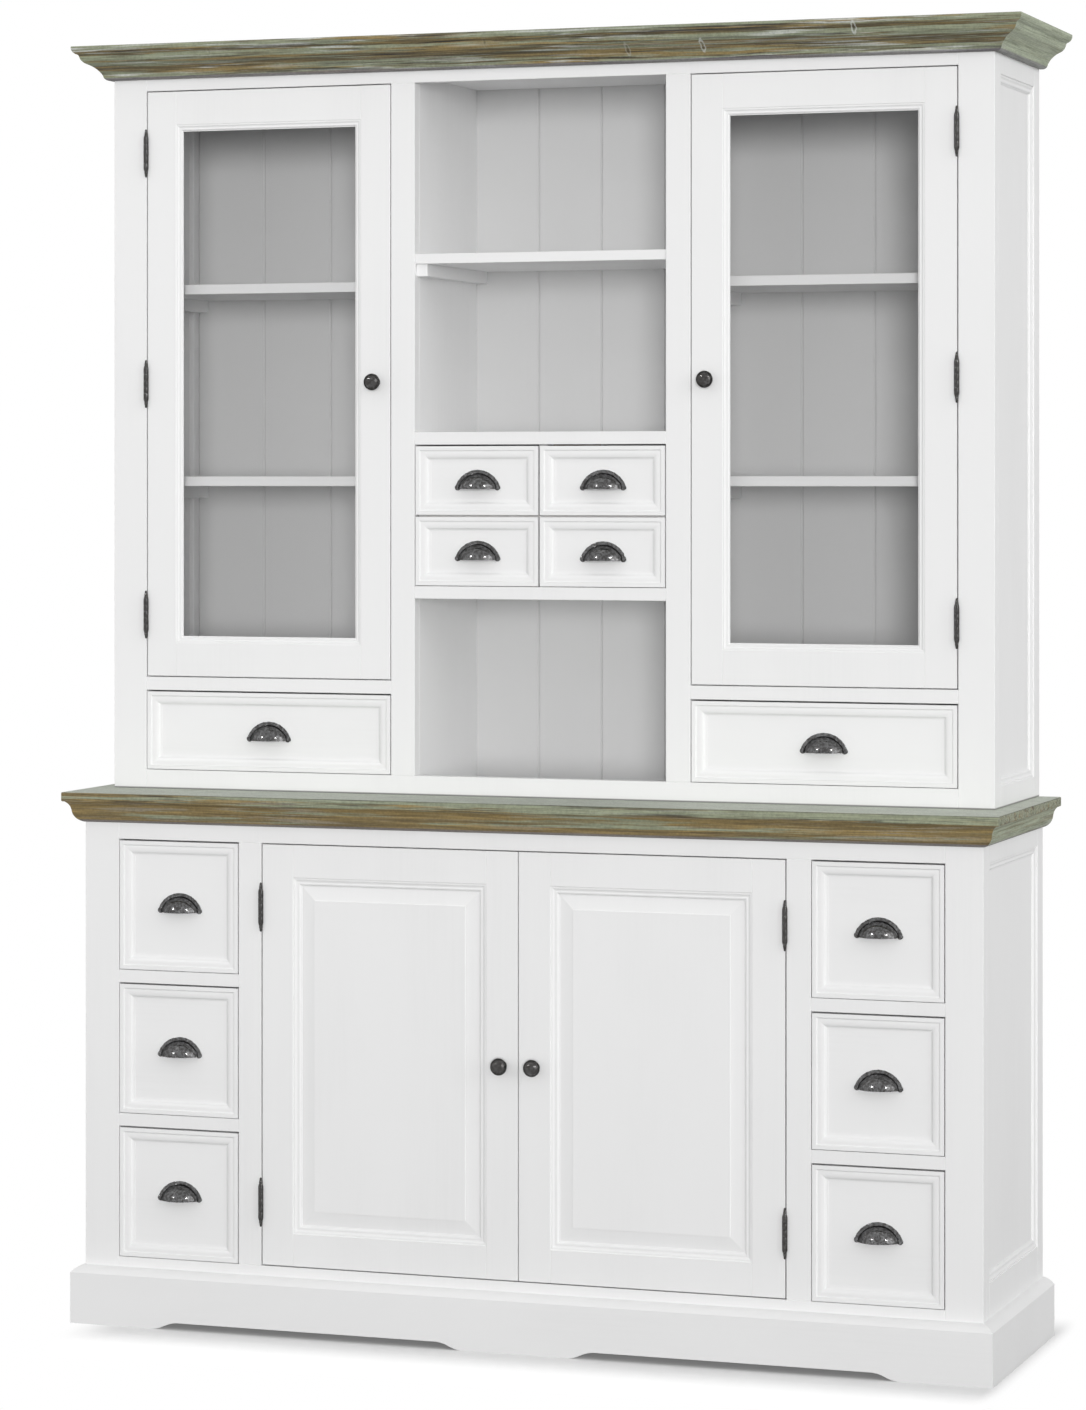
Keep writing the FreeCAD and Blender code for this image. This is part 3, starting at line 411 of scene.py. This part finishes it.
def bumped(tree, shader, height, strength, distance):
    bump = add(tree, "ShaderNodeBump", {"Height": height, "Strength": strength, "Distance": distance})
    tree.links.new(bump.outputs[0], shader.inputs["Normal"])


def along(tree, axis):
    """Object coordinates turned so that X runs along the given axis."""
    turns = {"X": (0, 0, 0), "Y": (0, 0, -QUARTER), "Z": (0, QUARTER, 0)}
    where = add(tree, "ShaderNodeTexCoord").outputs["Object"]
    return add(tree, "ShaderNodeMapping", {"Vector": where, "Rotation": turns[axis]}).outputs[0]


def painted(name, axis, colours, brush, board_shade=0.0):
    """Satin paint brushed along one axis, darkened by a share of painted shade, and grey along the seam between
    hutch and counter top as a painted shadow.
    """
    material, tree, shader = new_material(name, colours.paint)
    marks = placed(tree, brush, {"Vector": along(tree, axis)})
    coat = mixed(tree, marks["Thin"], colours.paint, colours.paint_dull)
    # Painted shade: a share of darker paint, given for the back boards of the hutch
    coat = mixed(tree, board_shade, coat, colours.paint_board_shade)
    # Painted shadow: a grey band along the seam where the hutch stands on the counter top
    where = add(tree, "ShaderNodeTexCoord").outputs["Object"]
    height = add(tree, "ShaderNodeSeparateXYZ", {"Vector": where}).outputs["Z"]
    above = maths(tree, "ABSOLUTE", maths(tree, "SUBTRACT", height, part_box("base_top_boards")[1].z))
    coat = mixed(tree, ramped(tree, above, SEAM_SHADOW_CLEAR, SEAM_SHADOW_FULL), coat, colours.seam)
    tree.links.new(coat, shader.inputs["Base Color"])
    tree.links.new(ramped(tree, marks["Height"], 0.3, 0.7, *SATIN), shader.inputs["Roughness"])
    bumped(tree, shader, marks["Height"], *PAINT_RELIEF)
    return material


def bare(name, axis, colours, grain):
    """Planed wood without a finish."""
    material, tree, shader = new_material(name, colours.bare_wood)
    marks = placed(tree, grain, {"Vector": along(tree, axis)})
    wood = mixed(tree, marks["Rings"], colours.bare_wood, colours.bare_wood_dark)
    tree.links.new(wood, shader.inputs["Base Color"])
    tree.links.new(ramped(tree, marks["Height"], 0.3, 0.7, 0.55, 0.70), shader.inputs["Roughness"])
    bumped(tree, shader, marks["Height"], 0.2, 0.0005)
    return material


def painted_front(name, edge, colours, brush, grain):
    """Paint in front of the plane y = edge, and bare wood behind it."""
    material, tree, shader = new_material(name, colours.paint)
    marks = placed(tree, brush, {"Vector": along(tree, "X")})
    rings = placed(tree, grain, {"Vector": along(tree, "Y")})
    where = add(tree, "ShaderNodeTexCoord").outputs["Object"]
    depth = add(tree, "ShaderNodeSeparateXYZ", {"Vector": where}).outputs["Y"]
    behind = maths(tree, "GREATER_THAN", depth, edge)
    coat = mixed(tree, marks["Thin"], colours.paint, colours.paint_dull)
    wood = mixed(tree, rings["Rings"], colours.bare_wood, colours.bare_wood_dark)
    tree.links.new(mixed(tree, behind, coat, wood), shader.inputs["Base Color"])
    satin = ramped(tree, marks["Height"], 0.3, 0.7, *SATIN)
    dull = times(tree, behind, 0.2)
    tree.links.new(plus(tree, satin, dull), shader.inputs["Roughness"])
    bumped(tree, shader, marks["Height"], *PAINT_RELIEF)
    return material


def knots(tree, where, centres, reach):
    """Distance to the nearest knot, as a share of its reach."""
    ragged = noise(tree, where, 140.0, 2.0)
    nearest = None
    for centre in centres:
        offset = add(tree, "ShaderNodeVectorMath", {0: where, 1: centre}, operation="SUBTRACT").outputs[0]
        share = add(tree, "ShaderNodeVectorMath", {0: offset, 1: reach}, operation="DIVIDE").outputs[0]
        length = add(tree, "ShaderNodeVectorMath", {0: share}, operation="LENGTH").outputs["Value"]
        nearest = maths(tree, "MINIMUM", nearest, length) if nearest else length
    return plus(tree, nearest, times(tree, ragged, 0.9))


def weathered(name, bottom, colours, weather, knot_centres=()):
    """Brushed, washed and limed wood, browner to the left and grey at its lower lip."""
    axis, wash, pale, limed, cracked, even, browning = WEATHERED[name]
    material, tree, shader = new_material(name, colours.ochre)
    where = add(tree, "ShaderNodeTexCoord").outputs["Object"]
    normal = add(tree, "ShaderNodeNewGeometry").outputs["Normal"]
    up = add(tree, "ShaderNodeSeparateXYZ", {"Vector": normal}).outputs["Z"]
    place = add(tree, "ShaderNodeSeparateXYZ", {"Vector": where}).outputs
    left = ramped(tree, place["X"], *BROWNED, -browning, 0.0)
    rubbed = ramped(tree, up, -0.8, 0.3, wash - 0.07, wash + 0.07, smooth=False)
    marks = placed(tree, weather, {"Vector": along(tree, axis), "Wash": plus(tree, rubbed, left)})
    wood = mixed(tree, ramped(tree, marks["Tone"], 0.0, 1.0, even, 1.0), colours.brown, colours.ochre)
    wash_colour = mixed(tree, pale, colours.wash, colours.pale_wash)
    wood = mixed(tree, ramped(tree, marks["Wash"], 0.0, 1.0, 0.8 * pale, 0.9), wood, wash_colour)
    wood = mixed(tree, times(tree, marks["Lime"], limed), wood, colours.lime)
    wood = mixed(tree, times(tree, marks["Crack"], cracked), wood, colours.crack)
    arris = times(tree, ramped(tree, up, 0.15, 0.40), ramped(tree, up, 0.95, 0.75))
    wood = mixed(tree, times(tree, arris, 0.45), wood, colours.crack)
    top_colour = mixed(tree, 0.35, colours.lime, colours.pale_wash)
    wood = mixed(tree, ramped(tree, up, 0.7, 0.98, 0.0, 0.92), wood, top_colour)
    low = ramped(tree, place["Z"], bottom + LIP_CLEAR, bottom + LIP_FULL)
    lip = times(tree, ramped(tree, up, -0.30, -0.60), low)
    wood = mixed(tree, times(tree, lip, 0.75), wood, colours.lip)
    if knot_centres:
        near = knots(tree, where, knot_centres, KNOT_REACH)
        ring = times(tree, ramped(tree, near, 2.0, 1.5), ramped(tree, near, 1.1, 1.4))
        curl = times(tree, ring, ramped(tree, place["X"], 0.0, 0.4, 0.05, 0.90))
        wood = mixed(tree, curl, wood, colours.lime)
        wood = mixed(tree, times(tree, ramped(tree, near, 1.3, 0.7), 0.65), wood, colours.crack)
    shade = mixed(tree, marks["Mottle"], (0.68, 0.68, 0.68), (1.05, 1.05, 1.05))
    tree.links.new(mixed(tree, 1.0, wood, shade, "MULTIPLY"), shader.inputs["Base Color"])
    tree.links.new(ramped(tree, marks["Height"], 0.2, 1.1, 0.78, 0.60), shader.inputs["Roughness"])
    bumped(tree, shader, marks["Height"], 0.6, 0.0012)
    return material


def burnished_iron(name, colours, depth):
    """Dark iron, speckled and rubbed brighter in places; depth darkens it."""
    material, tree, shader = new_material(name, colours.iron)
    where = add(tree, "ShaderNodeTexCoord").outputs["Object"]
    mottle = noise(tree, where, 120.0, 4.0, 0.6)
    pits = noise(tree, where, 270.0, 3.0, 0.7)
    iron = mixed(tree, ramped(tree, mottle, 0.45, 0.70), colours.iron, colours.iron_worn)
    iron = mixed(tree, ramped(tree, pits, 0.56, 0.44, 0.0, 0.75), iron, colours.crack)
    tree.links.new(mixed(tree, depth, iron, colours.crack), shader.inputs["Base Color"])
    tree.links.new(ramped(tree, mottle, 0.3, 0.7, 0.20, 0.11), shader.inputs["Roughness"])
    shader.inputs["Metallic"].default_value = 0.95
    shader.inputs["Specular Tint"].default_value = (0.25, 0.25, 0.25, 1)
    bumped(tree, shader, pits, 0.08, 0.0004)
    return material


def clear_glass(name, colours):
    """Thin clear panes that mirror more at a slant."""
    material, tree, shader = new_material(name, colours.glass)
    where = add(tree, "ShaderNodeTexCoord").outputs["Object"]
    waves = noise(tree, where, 2.5, 2.0)
    slant = add(tree, "ShaderNodeFresnel", {"IOR": 1.45}).outputs[0]
    tree.links.new(ramped(tree, slant, 0.02, 0.9, 0.004, 0.8, smooth=False), shader.inputs["Alpha"])
    tree.links.new(mixed(tree, waves, colours.glass, colours.glass_pale), shader.inputs["Base Color"])
    shader.inputs["Roughness"].default_value = 0.03
    bumped(tree, shader, waves, 0.05, 0.001)
    return material


# Meshes
def arc_of(start, middle, end):
    """Centre, axis and turn of the arc through three points."""
    first, second = middle - start, end - start
    axis = first.cross(second)
    reach = axis.cross(first) * second.length_squared + second.cross(axis) * first.length_squared
    centre = start + reach / (2 * axis.length_squared)
    axis.normalize()
    before, after = start - centre, end - centre
    return centre, axis, math.atan2(axis.dot(before.cross(after)), before.dot(after)) % FULL


def traced(bm, steps, place):
    """Draws an outline of lines and arcs, and returns its vertices in order."""
    verts = [bm.verts.new(place(*steps[0]))]
    for step in steps[1:]:
        if len(step) == 2:
            verts += bmesh.ops.extrude_vert_indiv(bm, verts=verts[-1:])["verts"]
            verts[-1].co = place(*step)
        else:
            centre, axis, turn = arc_of(verts[-1].co, place(*step[:2]), place(*step[2:]))
            before = set(bm.verts)
            bmesh.ops.spin(bm, geom=verts[-1:], cent=centre, axis=axis, angle=turn, steps=ARC_STEPS)
            verts += [vert for vert in bm.verts if vert not in before]
    return verts


def outline_face(bm, steps, place):
    return bm.faces.new(traced(bm, steps, place))


def extruded(bm, faces, move):
    """Pulls faces into a solid."""
    made = bmesh.ops.extrude_face_region(bm, geom=faces)["geom"]
    bmesh.ops.translate(bm, vec=move, verts=[item for item in made if isinstance(item, bmesh.types.BMVert)])


def cut_off(bm, point, normal):
    """Cuts away what lies beyond a plane, and closes the cut."""
    geom = bm.verts[:] + bm.edges[:] + bm.faces[:]
    cut = bmesh.ops.bisect_plane(bm, geom=geom, dist=MERGE, plane_co=point, plane_no=normal, clear_outer=True)
    edges = [item for item in cut["geom_cut"] if isinstance(item, bmesh.types.BMEdge)]
    bmesh.ops.contextual_create(bm, geom=edges)


def rounded(bm, edges, width, segments):
    bmesh.ops.bevel(bm, geom=edges, offset=width, offset_type="OFFSET", segments=segments, profile=0.5,
                    affect="EDGES", clamp_overlap=True, material=-1)


def sharp_edges(bm):
    return [edge for edge in bm.edges if edge.calc_face_angle(0) > SHARP_ANGLE]


def worn(bm, axis, width):
    """Rounds the sharp edges that run along an axis."""
    edges = [edge for edge in bm.edges if edge.is_manifold and edge.calc_face_angle(0) > SHARP_ANGLE
             and abs((edge.verts[1].co - edge.verts[0].co).normalized().dot(axis)) > 0.99]
    rounded(bm, edges, width, 2)


def joined(target, bm, material_index=0):
    """Puts one bmesh into another and frees it."""
    bmesh.ops.recalc_face_normals(bm, faces=bm.faces[:])
    for face in bm.faces:
        face.material_index = material_index
    mesh = bpy.data.meshes.new("joining")
    bm.to_mesh(mesh)
    bm.free()
    target.from_mesh(mesh)
    bpy.data.meshes.remove(mesh)


def finished(bm, name, body, materials, replaced):
    """Makes the object of a bmesh, and ties it to its body, slot and nodes."""
    mesh = bpy.data.meshes.new(name)
    bm.to_mesh(mesh)
    bm.free()
    for material in materials:
        mesh.materials.append(material)
    mesh.shade_smooth()
    mesh.set_sharp_from_angle(angle=SHARP_ANGLE)
    piece = bpy.data.objects.new(name, mesh)
    bpy.context.scene.collection.objects.link(piece)
    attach(piece, body)
    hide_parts(*replaced)
    return piece


def wrapped_moulding(node, shares, projection, edge):
    """Front, right and left lengths of a moulding that wraps a body, mitred at the front corners."""
    low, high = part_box(node)
    height = high.z - low.z
    whole = bmesh.new()
    runs = [
        (low, RIGHT, REAR, high.x - low.x, 0),
        (Vector((high.x, low.y, low.z)), REAR, -RIGHT, high.y - low.y, 1),
        (low, REAR, RIGHT, high.y - low.y, 1),
    ]
    for start, run, inward, length, index in runs:
        bm = bmesh.new()

        def place(depth, rise):
            return start + inward * depth * projection + UP * rise * height

        extruded(bm, [outline_face(bm, shares, place)], run * length)
        bmesh.ops.recalc_face_normals(bm, faces=bm.faces[:])
        worn(bm, run, edge)
        cut_off(bm, start, run * -1 + inward)
        if index == 0:
            cut_off(bm, start + run * length, run + inward)
        joined(whole, bm, index)
    return whole


def rounded_box(low, high, edge):
    """A box between two corners with rounded edges."""
    bm = bmesh.new()
    bmesh.ops.create_cube(bm, size=1)
    bmesh.ops.scale(bm, vec=high - low, verts=bm.verts[:])
    bmesh.ops.translate(bm, vec=(low + high) / 2, verts=bm.verts[:])
    rounded(bm, bm.edges[:], edge, 3)
    return bm


def turned(shares, start, outward, axis, radius, length):
    """A turned piece: an outline spun all the way round its axis."""
    bm = bmesh.new()

    def place(out, rise):
        return start + outward * out * radius + axis * rise * length

    geom = traced(bm, shares, place) + bm.edges[:]
    bmesh.ops.spin(bm, geom=geom, cent=start, axis=axis, angle=FULL, steps=TURN_STEPS, use_merge=True)
    bmesh.ops.remove_doubles(bm, verts=bm.verts[:], dist=MERGE)
    return bm


def cup_pull(node, sizes):
    """A half-dome cup with a flat rim and two ears, on the drawer's face."""
    low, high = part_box(node)
    half = (high.x - low.x) / 2
    lip = Vector(((low.x + high.x) / 2, high.y, low.z + sizes.ear_radius - sizes.ear_rise))
    rise = high.z - lip.z

    def place(across, up):
        return lip + RIGHT * across + UP * up

    def arch(inset):
        end = sizes.pull_end if inset <= sizes.pull_rim else sizes.pull_end - sizes.pull_wall
        return half - inset, end, rise - inset

    def band(bm, outer, inner):
        wide, end, top = outer
        narrow, inner_end, inner_top = inner
        steps = [(-wide, 0), (-wide, end), (0, top, wide, end), (wide, 0), (narrow, 0), (narrow, inner_end),
                 (0, inner_top, -narrow, inner_end), (-narrow, 0)]
        return outline_face(bm, steps, place)

    whole = bmesh.new()
    cup = bmesh.new()
    shell = band(cup, arch(sizes.pull_rim), arch(sizes.pull_rim + sizes.pull_wall))
    geom = shell.verts[:] + shell.edges[:] + [shell]
    bmesh.ops.spin(cup, geom=geom, cent=lip, axis=RIGHT, angle=QUARTER, steps=ARC_STEPS * 2)
    joined(whole, cup)
    rim = bmesh.new()
    flat = band(rim, arch(0), arch(sizes.pull_rim + sizes.pull_wall))
    extruded(rim, [flat], FRONT * sizes.pull_rim_thickness)
    bmesh.ops.recalc_face_normals(rim, faces=rim.faces[:])
    rounded(rim, sharp_edges(rim), sizes.pull_rim_thickness / 3, 3)
    joined(whole, rim)
    for side in (-1, 1):
        ear = bmesh.new()
        bmesh.ops.create_cone(ear, cap_ends=True, segments=TURN_STEPS, radius1=sizes.ear_radius,
                              radius2=sizes.ear_radius, depth=sizes.ear_thickness)
        bmesh.ops.rotate(ear, cent=(0, 0, 0), matrix=Matrix.Rotation(QUARTER, 3, "X"), verts=ear.verts[:])
        middle = place(side * (half - sizes.ear_radius), sizes.ear_rise) + FRONT * sizes.ear_thickness / 2
        bmesh.ops.translate(ear, vec=middle, verts=ear.verts[:])
        rounded(ear, sharp_edges(ear), sizes.ear_thickness / 3, 3)
        joined(whole, ear)
    return whole


def hinge_parts(sizes, axis, bottom, towards_door, first, finials):
    """Knuckles and leaf of one half of a hinge, and the finials of its pin."""
    whole = bmesh.new()
    pitch = sizes.barrel_length / sizes.knuckles
    length = pitch - sizes.knuckle_gap
    face = axis.y + sizes.barrel_radius
    for i in range(first, sizes.knuckles, 2):
        knuckle = bmesh.new()
        bmesh.ops.create_cone(knuckle, cap_ends=True, segments=TURN_STEPS, radius1=sizes.barrel_radius,
                              radius2=sizes.barrel_radius, depth=length)
        rounded(knuckle, sharp_edges(knuckle), sizes.barrel_radius / 10, 2)
        middle = Vector((axis.x, axis.y, bottom + (i + 0.5) * pitch))
        bmesh.ops.translate(knuckle, vec=middle, verts=knuckle.verts[:])
        joined(whole, knuckle)
    side = towards_door if first else -towards_door
    outer = axis.x + side * sizes.hinge_gap / 2
    inner = outer - side * sizes.leaf_thickness
    leaf = rounded_box(Vector((min(inner, outer), face, bottom)),
                       Vector((max(inner, outer), face + sizes.leaf_depth, bottom + sizes.barrel_length)),
                       sizes.leaf_thickness / 6)
    joined(whole, leaf)
    if finials:
        for height, way in ((bottom, DOWN), (bottom + sizes.barrel_length, UP)):
            start = Vector((axis.x, axis.y, height))
            joined(whole, turned(FINIAL_SHARES, start, RIGHT, way, sizes.barrel_radius, sizes.finial))
    return whole


def hinge_places(door, sizes):
    """Axis and lowest points of a door's hinges, and the side on which the door lies."""
    joint = next(joint for joint in frame["joints"] if joint["child"] == door)
    axis = Vector(joint["pos_m"])
    low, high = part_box(door + "_hinge_leaves")
    top = high.z - sizes.barrel_length
    bottoms = [low.z, top] if door in BASE_DOORS else [low.z, (low.z + top) / 2, top]
    return axis, bottoms, -math.copysign(1, axis.x)


def dress(names, material):
    """Gives CAD nodes a material."""
    for name in names:
        mesh = frame["nodes"][name].data
        mesh.materials.clear()
        mesh.materials.append(material)


# Operators
class BUFFET_OT_painted_boards(bpy.types.Operator):
    """Paint the boards, doors and drawers of the cabinet"""

    bl_idname = "buffet.painted_boards"
    bl_label = "Painted boards"

    def execute(self, context):
        colours, sizes = context.scene.buffet_colours, context.scene.buffet_sizes
        brush, grain = brush_group(), grain_group()
        dress(UPRIGHT_BOARDS, painted("white_paint_upright", "Z", colours, brush))
        dress(LEVEL_BOARDS, painted("white_paint_level", "X", colours, brush))
        # The hutch's back boards take the darker paint as a painted shade
        dress(["hutch_back_boards"], painted("white_paint_shaded_boards", "Z", colours, brush, BOARD_SHADE))
        dress(["base_drawer_runners"], bare("bare_wood", "Y", colours, grain))
        for name, drawers in (("base", [d for d in DRAWERS if d.startswith("base")]),
                              ("hutch", [d for d in DRAWERS if not d.startswith("base")])):
            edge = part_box(drawers[0])[0].y + sizes.drawer_front
            dress(drawers, painted_front(name + "_drawer_paint", edge, colours, brush, grain))
        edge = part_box("hutch_drawer_guides")[0].y + sizes.guide_front
        dress(["hutch_drawer_guides"], painted_front("hutch_guide_paint", edge, colours, brush, grain))
        return {"FINISHED"}


class BUFFET_OT_woodwork(bpy.types.Operator):
    """Model the cornice and the counter top in weathered wood"""

    bl_idname = "buffet.woodwork"
    bl_label = "Cornice and counter top"

    def execute(self, context):
        colours, sizes = context.scene.buffet_colours, context.scene.buffet_sizes
        weather = weather_group()
        crown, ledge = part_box("cornice")[0].z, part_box("base_top_moulding")[0].z
        front = weathered("weathered_cornice", crown, colours, weather, CORNICE_KNOTS)
        ends = weathered("weathered_cornice_ends", crown, colours, weather)
        edge = weathered("weathered_moulding", ledge, colours, weather)
        edge_ends = weathered("weathered_moulding_ends", ledge, colours, weather)
        planks = weathered("weathered_planks", ledge, colours, weather)
        cornice = wrapped_moulding("cornice", CORNICE_SHARES, sizes.cornice_projection, sizes.worn_edge)
        finished(cornice, "cornice_lengths", "cabinet", [front, ends], ["cornice"])
        moulding = wrapped_moulding(
            "base_top_moulding", TOP_MOULDING_SHARES, sizes.moulding_projection, sizes.worn_edge)
        finished(moulding, "counter_moulding", "cabinet", [edge, edge_ends],
                 ["base_top_moulding"])
        low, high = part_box("base_top_boards")
        depth = (high.y - low.y) / sizes.plank_count
        boards = bmesh.new()
        for i in range(sizes.plank_count):
            start = Vector((low.x, low.y + i * depth, low.z))
            joined(boards, rounded_box(start, Vector((high.x, start.y + depth, high.z)), sizes.plank_edge))
        finished(boards, "counter_planks", "cabinet", [planks], ["base_top_boards"])
        return {"FINISHED"}


class BUFFET_OT_metalwork(bpy.types.Operator):
    """Model the cup pulls, knobs and hinges in dark iron"""

    bl_idname = "buffet.metalwork"
    bl_label = "Pulls, knobs and hinges"

    def execute(self, context):
        colours, sizes = context.scene.buffet_colours, context.scene.buffet_sizes
        iron = burnished_iron("dark_iron", colours, 0.0)
        dark = burnished_iron("dark_iron_turned", colours, TURNED_DEPTH)
        for drawer in DRAWERS:
            node = drawer + "_pull"
            finished(cup_pull(node, sizes), drawer + "_cup", drawer, [iron], [node])
        fixed = bmesh.new()
        for door in BASE_DOORS + GLASS_DOORS:
            node = door + "_knob"
            low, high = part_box(node)
            start = Vector(((low.x + high.x) / 2, high.y, (low.z + high.z) / 2))
            knob = bmesh.new()
            joined(knob, turned(KNOB_SHARES, start, RIGHT, FRONT, (high.x - low.x) / 2, high.y - low.y))
            finished(knob, door + "_turned_knob", door, [dark], [node])
            axis, bottoms, towards = hinge_places(door, sizes)
            moving = bmesh.new()
            for bottom in bottoms:
                joined(fixed, hinge_parts(sizes, axis, bottom, towards, 0, True))
                joined(moving, hinge_parts(sizes, axis, bottom, towards, 1, False))
            finished(moving, door + "_hinges", door, [dark], [door + "_hinge_leaves"])
        finished(fixed, "frame_hinges", "cabinet", [dark], ["hinge_frame_leaves"])
        return {"FINISHED"}


class BUFFET_OT_panes(bpy.types.Operator):
    """Glaze the doors of the hutch"""

    bl_idname = "buffet.panes"
    bl_label = "Panes"

    def execute(self, context):
        glass = clear_glass("clear_glass", context.scene.buffet_colours)
        dress([door + "_glass" for door in GLASS_DOORS], glass)
        return {"FINISHED"}


class BUFFET_OT_stage(bpy.types.Operator):
    """Set up the floor, the lamps, the room light and the camera"""

    bl_idname = "buffet.stage"
    bl_label = "Stage"

    def execute(self, context):
        scene = context.scene
        studio = scene.buffet_studio
        scene.view_settings.view_transform = "Standard"
        self.lay_floor(scene, scene.buffet_colours)
        self.light_room(scene, studio)
        self.hang_lamp(scene, "key_lamp", KEY_FROM, studio.key_power, KEY_LIGHT, glints=False)
        self.hang_lamp(scene, "side_lamp", SIDE_FROM, studio.side_power, SOFT_LIGHT)
        self.hang_lamp(scene, "left_spark", LEFT_SPARK_FROM, studio.spark_power, SMALL_LIGHT, matt=False)
        self.hang_lamp(scene, "right_spark", RIGHT_SPARK_FROM, studio.spark_power, SMALL_LIGHT, matt=False)
        camera = bpy.data.cameras.new("photo_camera")
        camera.sensor_width = FILM_WIDTH
        camera.lens = studio.lens
        camera.shift_y = studio.shift
        camera.clip_end = SIGHT
        holder = bpy.data.objects.new("photo_camera", camera)
        holder.location = studio.camera_place
        holder.rotation_euler = (QUARTER, 0, studio.camera_turn)
        scene.collection.objects.link(holder)
        scene.camera = holder
        return {"FINISHED"}

    def seen(self, tree):
        """One where the eye meets the surface, straight or by a mirror or a pane."""
        path = add(tree, "ShaderNodeLightPath").outputs
        mirrored = maths(tree, "MAXIMUM", path["Is Glossy Ray"], path["Is Transmission Ray"])
        return maths(tree, "MAXIMUM", path["Is Camera Ray"], mirrored)

    def lay_floor(self, scene, colours):
        """A floor that the eye sees white away from the cabinet, and that dims what it throws back."""
        bm = bmesh.new()
        bmesh.ops.create_grid(bm, x_segments=1, y_segments=1, size=FLOOR_HALF)
        mesh = bpy.data.meshes.new("floor")
        bm.to_mesh(mesh)
        bm.free()
        floor = bpy.data.objects.new("floor", mesh)
        scene.collection.objects.link(floor)
        material = bpy.data.materials.new("pale_floor")
        material.use_nodes = True
        tree = material.node_tree
        tree.nodes.clear()
        where = add(tree, "ShaderNodeTexCoord").outputs["Object"]
        place = add(tree, "ShaderNodeSeparateXYZ", {"Vector": where}).outputs
        inside = ramped(tree, maths(tree, "ABSOLUTE", place["X"]), SHADE_END, SHADE_FULL)
        shade = times(tree, ramped(tree, place["Y"], CAD_LOW.y - SHADE_REACH, CAD_LOW.y), inside)
        tint = mixed(tree, shade, colours.floor, colours.floor_shade)
        matt = add(tree, "ShaderNodeBsdfDiffuse", {"Color": tint}).outputs[0]
        pale = add(tree, "ShaderNodeAddShader", {0: matt, 1: matt}).outputs[0]
        white = add(tree, "ShaderNodeEmission", {"Strength": 1.0}).outputs[0]
        away = add(tree, "ShaderNodeVectorMath", {0: where}, operation="LENGTH").outputs["Value"]
        apart = 0.0
        for axis, near, far in FLOOR_FADE:
            gap = ramped(tree, place[axis], near, far, smooth=False)
            apart = plus(tree, apart, maths(tree, "POWER", gap, 2.0))
        glow = ramped(tree, maths(tree, "SQRT", apart), 0.0, 1.0, FLOOR_GLOW, 1.0)
        ground = add(tree, "ShaderNodeMixShader", {0: glow, 1: pale, 2: white}).outputs[0]
        lit = mixed(tree, ramped(tree, away, BOUNCE_FROM, BOUNCE_TO), colours.bounce_near, colours.bounce)
        dim = add(tree, "ShaderNodeBsdfDiffuse", {"Color": lit}).outputs[0]
        surface = add(tree, "ShaderNodeMixShader", {0: self.seen(tree), 1: dim, 2: ground}).outputs[0]
        add(tree, "ShaderNodeOutputMaterial", {"Surface": surface})
        mesh.materials.append(material)
        floor.visible_shadow = False

    def light_room(self, scene, studio):
        """Even light from all sides, seen as white."""
        scene.world = bpy.data.worlds.new("room_light")
        scene.world.use_nodes = True
        tree = scene.world.node_tree
        tree.nodes.clear()
        even = add(tree, "ShaderNodeBackground", {"Color": (1, 1, 1, 1), "Strength": studio.air}).outputs[0]
        white = add(tree, "ShaderNodeBackground", {"Color": (1, 1, 1, 1), "Strength": 1.0}).outputs[0]
        surface = add(tree, "ShaderNodeMixShader", {0: self.seen(tree), 1: even, 2: white}).outputs[0]
        add(tree, "ShaderNodeOutputWorld", {"Surface": surface})

    def hang_lamp(self, scene, name, towards, strength, width, matt=True, glints=True):
        """A lamp that shines on matt surfaces, glints on glossy ones, or both."""
        lamp = bpy.data.lights.new(name, "SUN")
        lamp.angle = width
        lamp.energy = strength
        holder = bpy.data.objects.new(name, lamp)
        holder.location = towards * LAMP_DISTANCE
        holder.rotation_euler = towards.to_track_quat("Z", "Y").to_euler()
        holder.visible_diffuse = matt
        holder.visible_glossy = glints
        scene.collection.objects.link(holder)


class BUFFET_PT_sidebar(bpy.types.Panel):
    """Lists the pieces of the cabinet, with their sizes and colours"""

    bl_idname = "BUFFET_PT_sidebar"
    bl_label = "Buffet cabinet"
    bl_space_type = "VIEW_3D"
    bl_region_type = "UI"
    bl_category = "Buffet"

    def draw(self, context):
        for operator in OPERATORS:
            self.layout.operator(operator.bl_idname)
        for group in (context.scene.buffet_sizes, context.scene.buffet_colours, context.scene.buffet_studio):
            box = self.layout.box()
            for key in group.bl_rna.properties.keys():
                if key not in ("rna_type", "name"):
                    box.prop(group, key)


OPERATORS = (
    BUFFET_OT_painted_boards, BUFFET_OT_woodwork, BUFFET_OT_metalwork, BUFFET_OT_panes, BUFFET_OT_stage)
CLASSES = (BuffetSizes, BuffetColours, BuffetStudio) + OPERATORS + (BUFFET_PT_sidebar,)


def register():
    for made in CLASSES:
        bpy.utils.register_class(made)
    bpy.types.Scene.buffet_sizes = bpy.props.PointerProperty(type=BuffetSizes)
    bpy.types.Scene.buffet_colours = bpy.props.PointerProperty(type=BuffetColours)
    bpy.types.Scene.buffet_studio = bpy.props.PointerProperty(type=BuffetStudio)


def unregister():
    del bpy.types.Scene.buffet_sizes
    del bpy.types.Scene.buffet_colours
    del bpy.types.Scene.buffet_studio
    for made in reversed(CLASSES):
        bpy.utils.unregister_class(made)


def main():
    register()
    bpy.ops.buffet.painted_boards()
    bpy.ops.buffet.woodwork()
    bpy.ops.buffet.metalwork()
    bpy.ops.buffet.panes()
    bpy.ops.buffet.stage()


if __name__ == "__main__":
    main()
